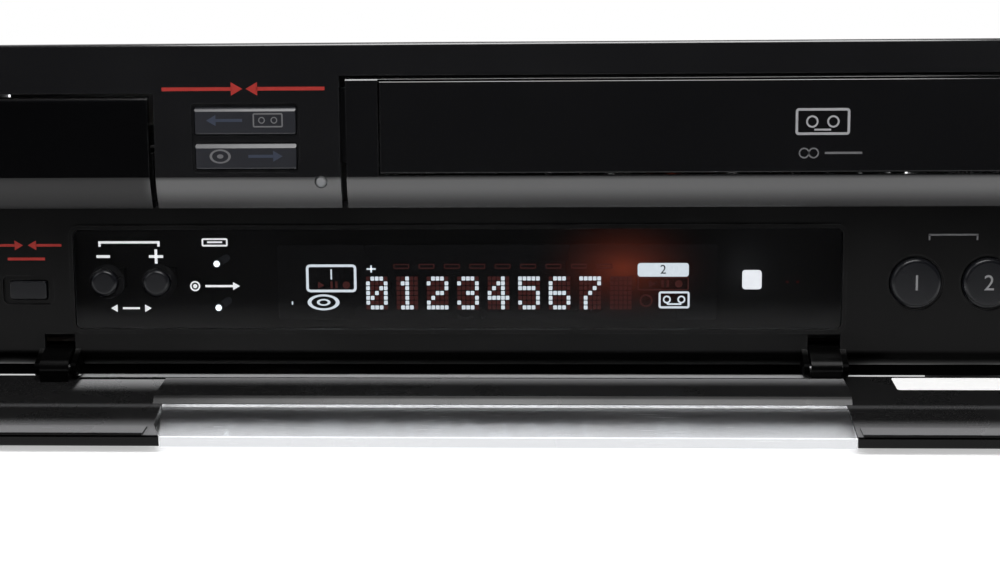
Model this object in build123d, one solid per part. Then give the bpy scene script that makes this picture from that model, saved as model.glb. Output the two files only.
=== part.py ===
from build123d import *
import math
import os

# Combined disc recorder and cassette deck, standing on its feet with the power on and the
# front door hanging open. Millimetres, +Z up, the front towards -Y.
# The sizes below count Y from the front face of the fascia; save() moves every piece so
# that the middle of the whole unit lies at Y = 0.

# ---- driving dimensions -------------------------------------------------------------
UNIT_WIDTH = 430.0
UNIT_HEIGHT = 107.5
BODY_DEPTH = 330.0
PAN_UNDERSIDE = 9.0          # the feet lift the steel pan this high
SHEET = 1.0                  # steel of pan and rear panel
COVER_SHEET = 0.8
SKIN = 2.4                   # wall of the moulded front
RUNNING_GAP = 0.3            # around everything that moves
FIT_GAP = 0.2                # around what is only pushed in
PIN_GAP = 0.05               # radial, round every pin and shaft
COVER_FRONT = 14.4           # the cover starts behind the fascia's returned edge
FASCIA_DEPTH = 14.0

# the light-catching band under the upper fascia, a shallow curve that leans back
BAND_TOP = 70.0
BAND_BOTTOM = 61.0
BAND_RECESS = 2.9
BAND_SAG = 0.34

# upper fascia, left to right: disc tray door, dubbing section, cassette surround
TRAY_DOOR_LEFT, TRAY_DOOR_RIGHT = -203.9, -63.3
TRAY_DOOR_TOP = 92.8
DOOR_SEAM = 1.7              # the open gap either side of tray door and cassette surround
SURROUND_LEFT, SURROUND_RIGHT = -7.3, 206.4
SURROUND_TOP = 97.9
FLAP_LEFT, FLAP_RIGHT = 2.3, 196.3
FLAP_BOTTOM, FLAP_TOP = 70.8, 96.7
FLAP_SHEET = 2.0
FLAP_SEAM = 0.5
FLAP_PIVOT_Y, FLAP_PIVOT_Z = 4.4, 100.2
FLAP_PIN_R = 1.0
FLAP_EAR_R = 1.6
TOP_EDGE_R = 1.6             # rounded upper edge of tray door and surround

# the recessed lower panel behind the front door
PANEL_FACE = 10.0
PANEL_SHEET = 2.0
PANEL_TOP = 60.8
PANEL_TURN_Z = 18.7          # here the panel starts to curve in
PANEL_TURN_R = 5.0
PANEL_LIP_BACK = 22.0
BEZEL_PROUD = 0.8
WINDOW_LEFT, WINDOW_RIGHT = -89.0, 133.3
WINDOW_BOTTOM, WINDOW_TOP = 24.9, 54.2
WINDOW_SUNK = 0.5
WINDOW_CORNER = 2.0
BEZEL_BORDER = 1.2

# front door, given shut; it rests open
DOOR_THICK = 2.8
DOOR_BOTTOM, DOOR_TOP = 11.3, 60.7
DOOR_PIVOT_Y, DOOR_PIVOT_Z = 6.0, 14.0
DOOR_OPEN = 98.0             # degrees from shut to resting open
DOOR_SIDE_GAP = 0.5
DOOR_PIN_R = 1.25
DOOR_KNUCKLE_R = 3.4
DOOR_LUGS = ((-98.3, -89.9), (124.1, 132.9))
DOOR_LENS_LEFT, DOOR_LENS_RIGHT = -57.0, 131.0
DOOR_LENS_START = 24.0       # from the hinge edge
DOOR_STEP_LEFT, DOOR_STEP_RIGHT = -61.0, 133.0
DOOR_STEP_START, DOOR_STEP_EDGE = 6.0, 22.0   # from the hinge edge
DOOR_STEP_HIGH = 1.8
DOOR_RIDGE_LEFT, DOOR_RIDGE_RIGHT = -87.6, 134.0
DOOR_RIDGE_HIGH = 0.7
DOOR_RIM_HIGH = 0.6

# buttons: name, middle X, middle Z
BUTTON_TRAVEL = 0.8
ROUND_BUTTON_R = 7.25
ROUND_BUTTONS = (("disc_select_button", 154.2, 38.3), ("tape_select_button", 174.6, 38.3),
                 ("cassette_eject_button", 195.0, 38.3), ("power_button", -196.5, 41.0))
SMALL_ROUND_R = 3.95
SMALL_ROUND_BUTTONS = (("minus_button", -80.1, 38.5), ("plus_button", -64.8, 38.5))
KEY_WIDTH, KEY_HEIGHT = 10.8, 5.3
KEY_BUTTONS = (("dubbing_key", -102.8, 36.4), ("open_close_key", -179.0, 50.0),
               ("play_key", -162.0, 50.0), ("stop_key", -145.0, 50.0))
DUB_LEFT, DUB_RIGHT = -50.0, -21.4
DUB_BUTTONS = (("dub_upper_button", 82.1, 89.8), ("dub_lower_button", 72.3, 79.5))
DUB_FACE = 0.15
DUB_BEVEL_HIGH, DUB_BEVEL_DEEP = 1.3, 0.9
DUB_RECESS_DEEP = 0.7
DUB_RECESS_BORDER = 0.9
LAMP_X, LAMP_Z, LAMP_R = -14.6, 68.6, 1.6
JACK_XS = (-172.0, -156.0, -140.0)
JACK_Z = 31.0
JACK_R = 4.2
ROUND_SOCKET_X = -124.0

# disc loader
DISC_R = 60.8                # the tray's well, for a 120 mm disc
TRAY_FLOOR, TRAY_TOP = 67.6, 71.0
TRAY_UNDERSIDE = 66.0
TRAY_HALF = 65.5
TRAY_FRONT, TRAY_REAR = 5.4, 166.0
DISC_MIDDLE_Y = 78.0
TRAY_SLOT_HALF = 22.0
LOADER_BASE = 58.0
LOADER_BASE_THICK = 2.0
LOADER_FRONT, LOADER_BACK = 12.6, 200.0
LOADER_WALL = 2.0
LOADER_WALL_TOP = 76.0
RACK_MODULE = 1.25
PINION_TEETH = 14
PINION_Y = 20.0
SPINDLE_R = 1.5
SLED_ROD_R = 1.5
SLED_ROD_OFFSET = 25.0
CLAMPER_R = 16.0

# cassette deck
CASSETTE_WIDTH, CASSETTE_HIGH, CASSETTE_DEEP = 187.4, 25.0, 102.5
CARRIAGE_INNER = 188.6
CARRIAGE_SHEET = 1.2
CARRIAGE_FLOOR = 70.2
CARRIAGE_CEILING = 95.8
CARRIAGE_FRONT, CARRIAGE_BACK = 36.0, 134.0
CARRIAGE_RUN = 62.0
CARRIAGE_DROP = 18.0
CARRIAGE_PIN_R = 1.5
LEDGE = 14.0
SLIDER_SHEET = 1.4
BRACKET_SHEET = 1.6
DECK_TOP = 40.0
DECK_SHEET = 2.0
DECK_FRONT = 40.0
DECK_REAR_ROOM = 51.0        # from deck to rear panel, for the sockets
REEL_SPACING = 92.0
REEL_TABLE_R = 19.0
DRUM_R = 31.0
DRUM_INSET = 38.0            # drum axis from the deck's back
CAPSTAN_X_OFFSET, CAPSTAN_INSET = 56.0, 56.0
CAPSTAN_R = 1.5
ROLLER_R = 5.5

# boards and rear
BOARD_UNDERSIDE = 16.0
BOARD_THICK = 1.6
FOOT_R, FOOT_INSET_X, FOOT_FRONT_Y, FOOT_REAR_INSET = 13.0, 38.0, 42.0, 33.0
POWER_BOARD_SIDE_GAP, POWER_BOARD_RIGHT = 15.0, -72.0
POWER_BOARD_FRONT, POWER_BOARD_REAR_GAP = 60.0, 27.0
MAIN_BOARD_LEFT, MAIN_BOARD_SIDE_GAP = -56.0, 11.0
MAIN_BOARD_FRONT, MAIN_BOARD_REAR_GAP = 72.0, 11.0
JACK_BLOCK_DEEP = 21.0
TUNER_HALF, TUNER_DEEP, TUNER_TOP = 26.0, 41.0, 56.0
DIGITAL_DEEP = 15.0
INLET_DEEP, INLET_BLOCK_DEEP = 26.5, 12.5
AERIAL_REACH = 9.0
REAR_JACK_REACH = 8.0

# ---- values that follow ---------------------------------------------------------------
HALF = UNIT_WIDTH / 2
REAR_FACE = BODY_DEPTH
REAR_INNER = REAR_FACE - SHEET
PAN_TOP = PAN_UNDERSIDE + SHEET
DECK_BACK = REAR_INNER - DECK_REAR_ROOM
DRUM_Y = DECK_BACK - DRUM_INSET
CAPSTAN_Y = DECK_BACK - CAPSTAN_INSET
FOOT_REAR_Y = REAR_INNER - FOOT_REAR_INSET
POWER_BOARD_LEFT = POWER_BOARD_SIDE_GAP - HALF
POWER_BOARD_BACK = REAR_INNER - POWER_BOARD_REAR_GAP
MAIN_BOARD_RIGHT = HALF - MAIN_BOARD_SIDE_GAP
MAIN_BOARD_BACK = REAR_INNER - MAIN_BOARD_REAR_GAP
TRAY_X = (TRAY_DOOR_LEFT + TRAY_DOOR_RIGHT) / 2
DECK_X = (FLAP_LEFT + FLAP_RIGHT) / 2
OPEN = math.radians(DOOR_OPEN)
PAN_HALF = HALF - COVER_SHEET
PAN_FRONT = PANEL_LIP_BACK + 0.3
PAN_FLANGE = 9.0
LEG_XS = (DECK_X - 99.6, DECK_X + 98.4)
LEG_YS = (70.0, DECK_BACK - 23.0)
FOOT_STEM_R = 3.0
POWER_STUDS = tuple((x, y) for y in (POWER_BOARD_FRONT + 6, POWER_BOARD_BACK - 6)
                    for x in (POWER_BOARD_LEFT + 4, POWER_BOARD_RIGHT - 4))
MAIN_STUDS = tuple((x, y) for y in (MAIN_BOARD_FRONT + 8, MAIN_BOARD_BACK - 8)
                   for x in (MAIN_BOARD_LEFT + 8, MAIN_BOARD_RIGHT - 14))
COVER_TOP = UNIT_HEIGHT - 0.3
COVER_FOOT = PAN_UNDERSIDE + 2.0
COVER_BACK = REAR_FACE
SCREW_R, SCREW_HEAD_R, SCREW_HEAD = 1.5, 3.2, 1.6
SIDE_SCREWS = tuple((y, 14.5) for y in (60.0, REAR_INNER - 59.0))
BACK_SCREWS = tuple((x, UNIT_HEIGHT - 8.0) for x in (-150.0, 0.0, 150.0))
REAR_LIP = 12.0
REAR_AV_XS = (30.0, 46.0, 62.0, 78.0, 94.0)
REAR_AV_ZS = (28.0, 44.0)
AERIAL_X, AERIAL_ZS = 160.0, (26.0, 44.0)
DIGITAL_X, DIGITAL_Z = -20.0, 30.0
INLET_X, INLET_Z = -180.0, 34.0
INLET_WIDE, INLET_HIGH = 22.0, 14.0
VENTS_X, VENTS_Z = -120.0, 53.0
DOOR_WALL = 2.6
BOARD_FRONT = 24.0
BOSS_X = HALF - 9.0
BOSS_POINTS = ((-BOSS_X, 54.0), (-BOSS_X, 27.0), (-106.0, 54.0), (-112.0, 24.0),
               (145.0, 54.0), (143.0, 24.0), (BOSS_X, 54.0), (BOSS_X, 27.0))
BEZEL_LEFT, BEZEL_RIGHT = WINDOW_LEFT - BEZEL_BORDER, WINDOW_RIGHT + BEZEL_BORDER
BEZEL_BOTTOM, BEZEL_TOP = WINDOW_BOTTOM - BEZEL_BORDER, WINDOW_TOP + BEZEL_BORDER
LUG_POCKET_TOP = 23.4
LUG_ROOM_BACK = 15.4
HINGE_CHEEK = 1.6
CHEEK_R = 2.2
ROUND_SOCKET_R = 5.6
WINDOW_PIPES = ((-47.0, 44.1), (-46.8, 31.2))
PIPE_R = 1.15
DOOR_HALF = HALF - DOOR_WALL - DOOR_SIDE_GAP
TUBE_LEFT, TUBE_RIGHT, TUBE_BOTTOM, TUBE_TOP = -30.0, 98.0, 27.0, 49.0
TUBE_FRONT = 15.0
RACK_LOW, RACK_HIGH = 62.6, TRAY_UNDERSIDE - 0.3
RACK_BACK_X = TRAY_X - TRAY_HALF + 4.6
RACK_PITCH_X = RACK_BACK_X + 4.0
PINION_PITCH_R = RACK_MODULE * PINION_TEETH / 2
PINION_X = RACK_PITCH_X + PINION_PITCH_R
PINION_PHASE = math.pi
PINION_BORE_R = 2.5
TRAVERSE_HALF = 34.0
TRAVERSE_FRONT, TRAVERSE_BACK = 54.0, 172.0
BRACKET_TOP = 55.5
TRAVERSE_TOP = 60.0
ROD_Z = 62.4
REEL_Y = CARRIAGE_FRONT + CARRIAGE_RUN + CASSETTE_DEEP / 2
REEL_POST_R = 2.6
ARM_X, ARM_Y = DECK_X + CAPSTAN_X_OFFSET + 28.0, CAPSTAN_Y + 4.0
SLIDER_PIN_R = 1.6
SLIDER_PIN_Z = 88.0
SLIDER_PIN_YS = (56.0, 108.0)
CARRIAGE_PIN_YS = (58.0, 112.0)
CARRIAGE_PIN_Z = 76.0
ROLLER_X, ROLLER_Y = DECK_X + CAPSTAN_X_OFFSET + 12.0, CAPSTAN_Y - 10.0


def opened(y, z):
    """Where a point of the shut front door lies once the door hangs open."""
    dy, dz = y - DOOR_PIVOT_Y, z - DOOR_PIVOT_Z
    return (DOOR_PIVOT_Y + dy * math.cos(OPEN) - dz * math.sin(OPEN),
            DOOR_PIVOT_Z + dy * math.sin(OPEN) + dz * math.cos(OPEN))


FRONT_REACH = min(opened(DOOR_THICK, DOOR_TOP)[0], opened(0, DOOR_TOP)[0])
REAR_REACH = REAR_FACE + AERIAL_REACH
MIDDLE_Y = (FRONT_REACH + REAR_REACH) / 2


# ---- ways of making and placing -------------------------------------------------------
def rect(x0, x1, v0, v1, r=0.0):
    """A rectangle by its edges, with round corners where r is given."""
    outline = RectangleRounded(x1 - x0, v1 - v0, r) if r else Rectangle(x1 - x0, v1 - v0)
    return Pos((x0 + x1) / 2, (v0 + v1) / 2) * outline


def along_y(sketch, y0, y1):
    """A sketch drawn in X and Z, carried from y0 back to y1."""
    plane = Plane(origin=(0, y1, 0), x_dir=(1, 0, 0), z_dir=(0, -1, 0))
    return extrude(plane * sketch, y1 - y0)


def along_z(sketch, z0, z1):
    return extrude(Plane.XY.offset(z0) * sketch, z1 - z0)


def along_x(sketch, x0, x1):
    """A sketch drawn in Y and Z, carried from x0 to x1."""
    return extrude(Plane.YZ.offset(x0) * sketch, x1 - x0)


def repeated(places, sketch):
    """One sketch copied to each place, as a single sketch."""
    return Sketch() + [place * sketch for place in places]


def outline(*points):
    return make_face(Polyline(*points, close=True))


def block(x0, x1, y0, y1, z0, z1):
    return along_z(rect(x0, x1, y0, y1), z0, z1)


def post_z(x, y, r, z0, z1):
    return along_z(Pos(x, y) * Circle(r), z0, z1)


def post_y(x, z, r, y0, y1):
    return along_y(Pos(x, z) * Circle(r), y0, y1)


def post_x(y, z, r, x0, x1):
    return along_x(Pos(y, z) * Circle(r), x0, x1)


def save(name, shape):
    placed = Pos(0, -MIDDLE_Y, 0) * shape
    placed.label = name
    export_step(placed, "parts/" + name + ".step")


def band_face(depth=0.0):
    """The front line of the band from its top edge to its lower edge, moved back by depth."""
    middle = (BAND_RECESS / 2 - BAND_SAG + depth, (BAND_TOP + BAND_BOTTOM) / 2)
    return ThreePointArc((depth, BAND_TOP), middle, (BAND_RECESS + depth, BAND_BOTTOM))


def banded_skin(top, foot_back, wall):
    """Section through a front skin: flat face, band leaning back, and a short foot."""
    top_round = TOP_EDGE_R
    lines = [
        Line((wall, BAND_TOP), (wall, top)),
        Line((wall, top), (top_round, top)),
        ThreePointArc((top_round, top), (top_round * 0.29, top - top_round * 0.29),
                      (0, top - top_round)),
        Line((0, top - top_round), (0, BAND_TOP)),
        band_face(),
        Line((BAND_RECESS, BAND_BOTTOM), (foot_back, BAND_BOTTOM)),
        Line((foot_back, BAND_BOTTOM), (foot_back, BAND_BOTTOM + 1.4)),
        Line((foot_back, BAND_BOTTOM + 1.4), (wall + BAND_RECESS, BAND_BOTTOM + 1.4)),
        Line((wall + BAND_RECESS, BAND_BOTTOM + 1.4), (wall, BAND_TOP)),
    ]
    return make_face(Wire(lines))


# ---- housing --------------------------------------------------------------------------


def chassis_pan():
    """Folded steel floor with turned-up edges, vents and raised posts for the boards."""
    pan = block(-PAN_HALF, PAN_HALF, PAN_FRONT, REAR_INNER, PAN_UNDERSIDE, PAN_TOP + PAN_FLANGE)
    pan -= block(-PAN_HALF + SHEET, PAN_HALF - SHEET, PAN_FRONT + SHEET, REAR_INNER + 1,
                 PAN_TOP, PAN_TOP + PAN_FLANGE + 1)
    slots = Pos(-140, 150) * repeated(GridLocations(14, 40, 7, 2), SlotOverall(30, 4, rotation=90))
    slots += Pos(60, 130) * repeated(GridLocations(14, 40, 6, 2), SlotOverall(30, 4, rotation=90))
    pan -= along_z(slots, PAN_UNDERSIDE - 1, PAN_TOP + 1)
    for x, y in POWER_STUDS + MAIN_STUDS:
        pan += post_z(x, y, 3.0, PAN_TOP - 0.2, BOARD_UNDERSIDE)
    for x in (-HALF + FOOT_INSET_X, HALF - FOOT_INSET_X):
        for y in (FOOT_FRONT_Y, FOOT_REAR_Y):
            pan -= post_z(x, y, FOOT_STEM_R, PAN_UNDERSIDE - 1, PAN_TOP + 1)
    for y, z in SIDE_SCREWS:
        pan -= post_x(y, z, SCREW_R + PIN_GAP, -HALF, HALF)
    return pan


def feet():
    """Four round moulded feet with a hollow ring below and a stem pushed up into the pan."""
    profile = outline((0, 1.2), (FOOT_R - 3.5, 1.2), (FOOT_R - 3.0, 0), (FOOT_R - 1.0, 0),
                      (FOOT_R, 1.4), (FOOT_R - 1.2, PAN_UNDERSIDE), (FOOT_STEM_R - FIT_GAP, PAN_UNDERSIDE),
                      (FOOT_STEM_R - FIT_GAP, PAN_TOP + 1.5), (0, PAN_TOP + 1.5))
    one = revolve(Plane.XZ * profile, Axis.Z)
    group = []
    for x in (-HALF + FOOT_INSET_X, HALF - FOOT_INSET_X):
        for y in (FOOT_FRONT_Y, FOOT_REAR_Y):
            group.append(Pos(x, y, 0) * one)
    return Compound(children=group)


def top_cover():
    """Folded steel hood: top and two sides with pressed vents, open at front, back and below."""
    bend = 3.0
    outer = rect(-HALF, HALF, COVER_FOOT - 20, COVER_TOP, bend)
    inner = rect(-HALF + COVER_SHEET, HALF - COVER_SHEET, COVER_FOOT - 30, COVER_TOP - COVER_SHEET,
                 bend - COVER_SHEET)
    hood = along_y(outer - inner - rect(-HALF - 1, HALF + 1, -60, COVER_FOOT), COVER_FRONT, COVER_BACK)
    side_vents = Pos(200, 62) * repeated(GridLocations(7, 0, 12, 1), SlotOverall(34, 2.6, rotation=90))
    hood -= along_x(side_vents, -HALF - 1, HALF + 1)
    top_vents = Pos(-150, 235) * repeated(GridLocations(8, 0, 12, 1), SlotOverall(60, 3, rotation=90))
    hood -= along_z(top_vents, COVER_TOP - 2, COVER_TOP + 1)
    for y, z in SIDE_SCREWS:
        hood -= post_x(y, z, SCREW_R + FIT_GAP, -HALF - 1, HALF + 1)
    return hood


def cover_screws():
    """Screws that hold the hood to the pan's sides and the rear panel to the hood's lip."""
    group = []
    turned = outline((0, -SCREW_HEAD), (SCREW_HEAD_R * 0.7, -SCREW_HEAD), (SCREW_HEAD_R, -0.5),
                     (SCREW_HEAD_R, 0), (SCREW_R, 0), (SCREW_R, 6), (0, 6.8))
    screw = revolve(Plane.XY * turned, Axis.Y)
    screw -= along_y(rect(-1.9, 1.9, -0.4, 0.4) + rect(-0.4, 0.4, -1.9, 1.9),
                     -SCREW_HEAD - 1, -SCREW_HEAD + 0.9)
    for y, z in SIDE_SCREWS:
        group.append(Pos(-HALF, y, z) * Rot(0, 0, -90) * screw)
        group.append(Pos(HALF, y, z) * Rot(0, 0, 90) * screw)
    for x, z in BACK_SCREWS:
        group.append(Pos(x, REAR_FACE, z) * Rot(0, 0, 180) * screw)
    return Compound(children=group)


def rear_panel():
    """Steel back with a folded upper lip, holes for sockets and rows of vents."""
    edge = PAN_HALF - SHEET - 0.3
    back = along_y(rect(-edge, edge, PAN_TOP + 0.3, COVER_TOP - COVER_SHEET - 0.3, 1.0),
                   REAR_INNER + 0.1, REAR_FACE)
    back += block(-edge + 6, edge - 6, REAR_INNER - REAR_LIP, REAR_INNER + 0.2,
                  COVER_TOP - COVER_SHEET - 1.3, COVER_TOP - COVER_SHEET - 0.3)
    cuts = Pos(INLET_X, INLET_Z) * RectangleRounded(INLET_WIDE, INLET_HIGH, 2)
    cuts += Pos(DIGITAL_X, DIGITAL_Z) * Rectangle(16, 7)
    for x in REAR_AV_XS:
        for z in REAR_AV_ZS:
            cuts += Pos(x, z) * Circle(5.0)
    for z in AERIAL_ZS:
        cuts += Pos(AERIAL_X, z) * Circle(5.4)
    cuts += Pos(VENTS_X, VENTS_Z) * repeated(GridLocations(7, 0, 14, 1), SlotOverall(26, 2.8, rotation=90))
    back -= along_y(cuts, REAR_INNER - 2, REAR_FACE + 2)
    for x, z in BACK_SCREWS:
        back -= post_y(x, z, SCREW_R + FIT_GAP, REAR_INNER - 1, REAR_FACE + 1)
    return back


def front_fascia():
    """Moulded front: top strip, dubbing section and shelf, with side walls down both ends."""
    top_round = 1.2
    shelf_back = PANEL_FACE + 0.5
    section = make_face(Wire([
        Line((SKIN, BAND_TOP), (SKIN, UNIT_HEIGHT - SKIN)),
        Line((SKIN, UNIT_HEIGHT - SKIN), (FASCIA_DEPTH, UNIT_HEIGHT - SKIN)),
        Line((FASCIA_DEPTH, UNIT_HEIGHT - SKIN), (FASCIA_DEPTH, UNIT_HEIGHT)),
        Line((FASCIA_DEPTH, UNIT_HEIGHT), (top_round, UNIT_HEIGHT)),
        ThreePointArc((top_round, UNIT_HEIGHT), (top_round * 0.29, UNIT_HEIGHT - top_round * 0.29),
                      (0, UNIT_HEIGHT - top_round)),
        Line((0, UNIT_HEIGHT - top_round), (0, BAND_TOP)),
        band_face(),
        Line((BAND_RECESS, BAND_BOTTOM), (shelf_back, BAND_BOTTOM)),
        Line((shelf_back, BAND_BOTTOM), (shelf_back, BAND_BOTTOM + 1.6)),
        Line((shelf_back, BAND_BOTTOM + 1.6), (SKIN + BAND_RECESS, BAND_BOTTOM + 1.6)),
        Line((SKIN + BAND_RECESS, BAND_BOTTOM + 1.6), (SKIN, BAND_TOP)),
    ]))
    fascia = along_x(section, -HALF, HALF)
    wall = DOOR_WALL
    side = rect(0, FASCIA_DEPTH, PAN_UNDERSIDE, BAND_BOTTOM - 0.4)
    side += rect(BAND_RECESS, FASCIA_DEPTH, BAND_BOTTOM - 1, UNIT_HEIGHT - 1)
    for x0 in (-HALF, HALF - wall):
        fascia += along_x(side, x0, x0 + wall)
    cut_front, cut_back = -1.0, SKIN + BAND_RECESS + 0.2
    fascia -= along_y(rect(TRAY_DOOR_LEFT - DOOR_SEAM, TRAY_DOOR_RIGHT + DOOR_SEAM,
                           BAND_BOTTOM - 1, TRAY_DOOR_TOP + 0.8), cut_front, cut_back)
    fascia -= along_y(rect(SURROUND_LEFT - DOOR_SEAM, SURROUND_RIGHT + DOOR_SEAM / 2,
                           BAND_BOTTOM - 1, SURROUND_TOP + 0.4), cut_front, cut_back)
    fascia -= along_y(rect(DUB_LEFT - DUB_RECESS_BORDER, DUB_RIGHT + DUB_RECESS_BORDER,
                           DUB_BUTTONS[1][1] - DUB_RECESS_BORDER, DUB_BUTTONS[0][2] + DUB_RECESS_BORDER,
                           1.2), cut_front, DUB_RECESS_DEEP)
    for _, low, high in DUB_BUTTONS:
        fascia -= along_y(rect(DUB_LEFT - RUNNING_GAP, DUB_RIGHT + RUNNING_GAP,
                               low - RUNNING_GAP, high + RUNNING_GAP, 0.8), cut_front, cut_back)
    fascia -= post_y(LAMP_X, LAMP_Z, LAMP_R + FIT_GAP, cut_front, SKIN + 3)
    # ribs behind the top strip stiffen it and carry the cassette surround's upper edge
    for x in (-190, -130, -70, -35, -14):
        fascia += block(x, x + 1.4, SKIN - 0.2, FASCIA_DEPTH - 1, UNIT_HEIGHT - 8, UNIT_HEIGHT - 1)
    return fascia


def cassette_surround():
    """Gloss surround pressed into the fascia, with the cassette mouth and the flap's bearings."""
    wall = 2.0
    shell = along_x(banded_skin(SURROUND_TOP, SKIN + BAND_RECESS, wall), SURROUND_LEFT, SURROUND_RIGHT)
    shell -= along_y(rect(FLAP_LEFT - FLAP_SEAM, FLAP_RIGHT + FLAP_SEAM,
                          FLAP_BOTTOM - FLAP_SEAM, FLAP_TOP + FLAP_SEAM), -1, wall + 1)
    # flanges behind the fascia: one over the mouth and one at each end
    shell += block(FLAP_LEFT + 6, FLAP_RIGHT - 6, SKIN, SKIN + 1, SURROUND_TOP - 0.5, SURROUND_TOP + 3)
    shell += block(FLAP_LEFT + 6, FLAP_RIGHT - 6, wall - 0.2, SKIN + 1, SURROUND_TOP - 0.6, SURROUND_TOP)
    for x0, x1 in ((SURROUND_LEFT - 4, SURROUND_LEFT + 3), (SURROUND_RIGHT - 3, SURROUND_RIGHT + 4)):
        shell += block(x0, x1, SKIN, SKIN + 1, 74, 95)
        shell += block(SURROUND_LEFT if x0 < 0 else x0, x1 if x0 < 0 else SURROUND_RIGHT,
                       wall - 0.2, SKIN + 1, 74, 95)
    ear = outline((wall - 0.2, 88), (wall - 0.2, 96), (SKIN + 0.4, 98), (SKIN + 0.4, 103.5),
                  (8.0, 103.5), (8.0, 94))
    ear -= Pos(FLAP_PIVOT_Y, FLAP_PIVOT_Z) * Circle(FLAP_PIN_R + PIN_GAP)
    for x0 in (FLAP_LEFT - FLAP_SEAM - 1.8, FLAP_RIGHT + FLAP_SEAM):
        shell += along_x(ear, x0, x0 + 1.8)
    return shell


def cassette_flap():
    """Sprung flap over the cassette mouth: thin plate, stiffening rib, two ears with pins."""
    plate = along_y(rect(FLAP_LEFT, FLAP_RIGHT, FLAP_BOTTOM, FLAP_TOP), 0, FLAP_SHEET)
    long_edges = plate.edges().filter_by(Axis.X).sort_by(Axis.Y)[:2]
    plate = fillet(long_edges, 0.5)
    plate += block(FLAP_LEFT + 8, FLAP_RIGHT - 8, FLAP_SHEET - 0.1, FLAP_SHEET + 1.4,
                   FLAP_BOTTOM + 4, FLAP_BOTTOM + 5.2)
    ear = outline((FLAP_SHEET - 0.2, 86.0), (FLAP_SHEET - 0.2, 96.2), (2.9, 98.0), (2.9, FLAP_PIVOT_Z),
                  (5.9, FLAP_PIVOT_Z), (5.9, 96.0))
    ear += Pos(FLAP_PIVOT_Y, FLAP_PIVOT_Z) * Circle(FLAP_EAR_R)
    pin_reach = FLAP_SEAM + 1.6
    for x0, x1, p0, p1 in ((FLAP_LEFT, FLAP_LEFT + 2, FLAP_LEFT - pin_reach, FLAP_LEFT + 0.5),
                           (FLAP_RIGHT - 2, FLAP_RIGHT, FLAP_RIGHT - 0.5, FLAP_RIGHT + pin_reach)):
        plate += along_x(ear, x0, x1)
        plate += post_x(FLAP_PIVOT_Y, FLAP_PIVOT_Z, FLAP_PIN_R, p0, p1)
    return plate


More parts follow.
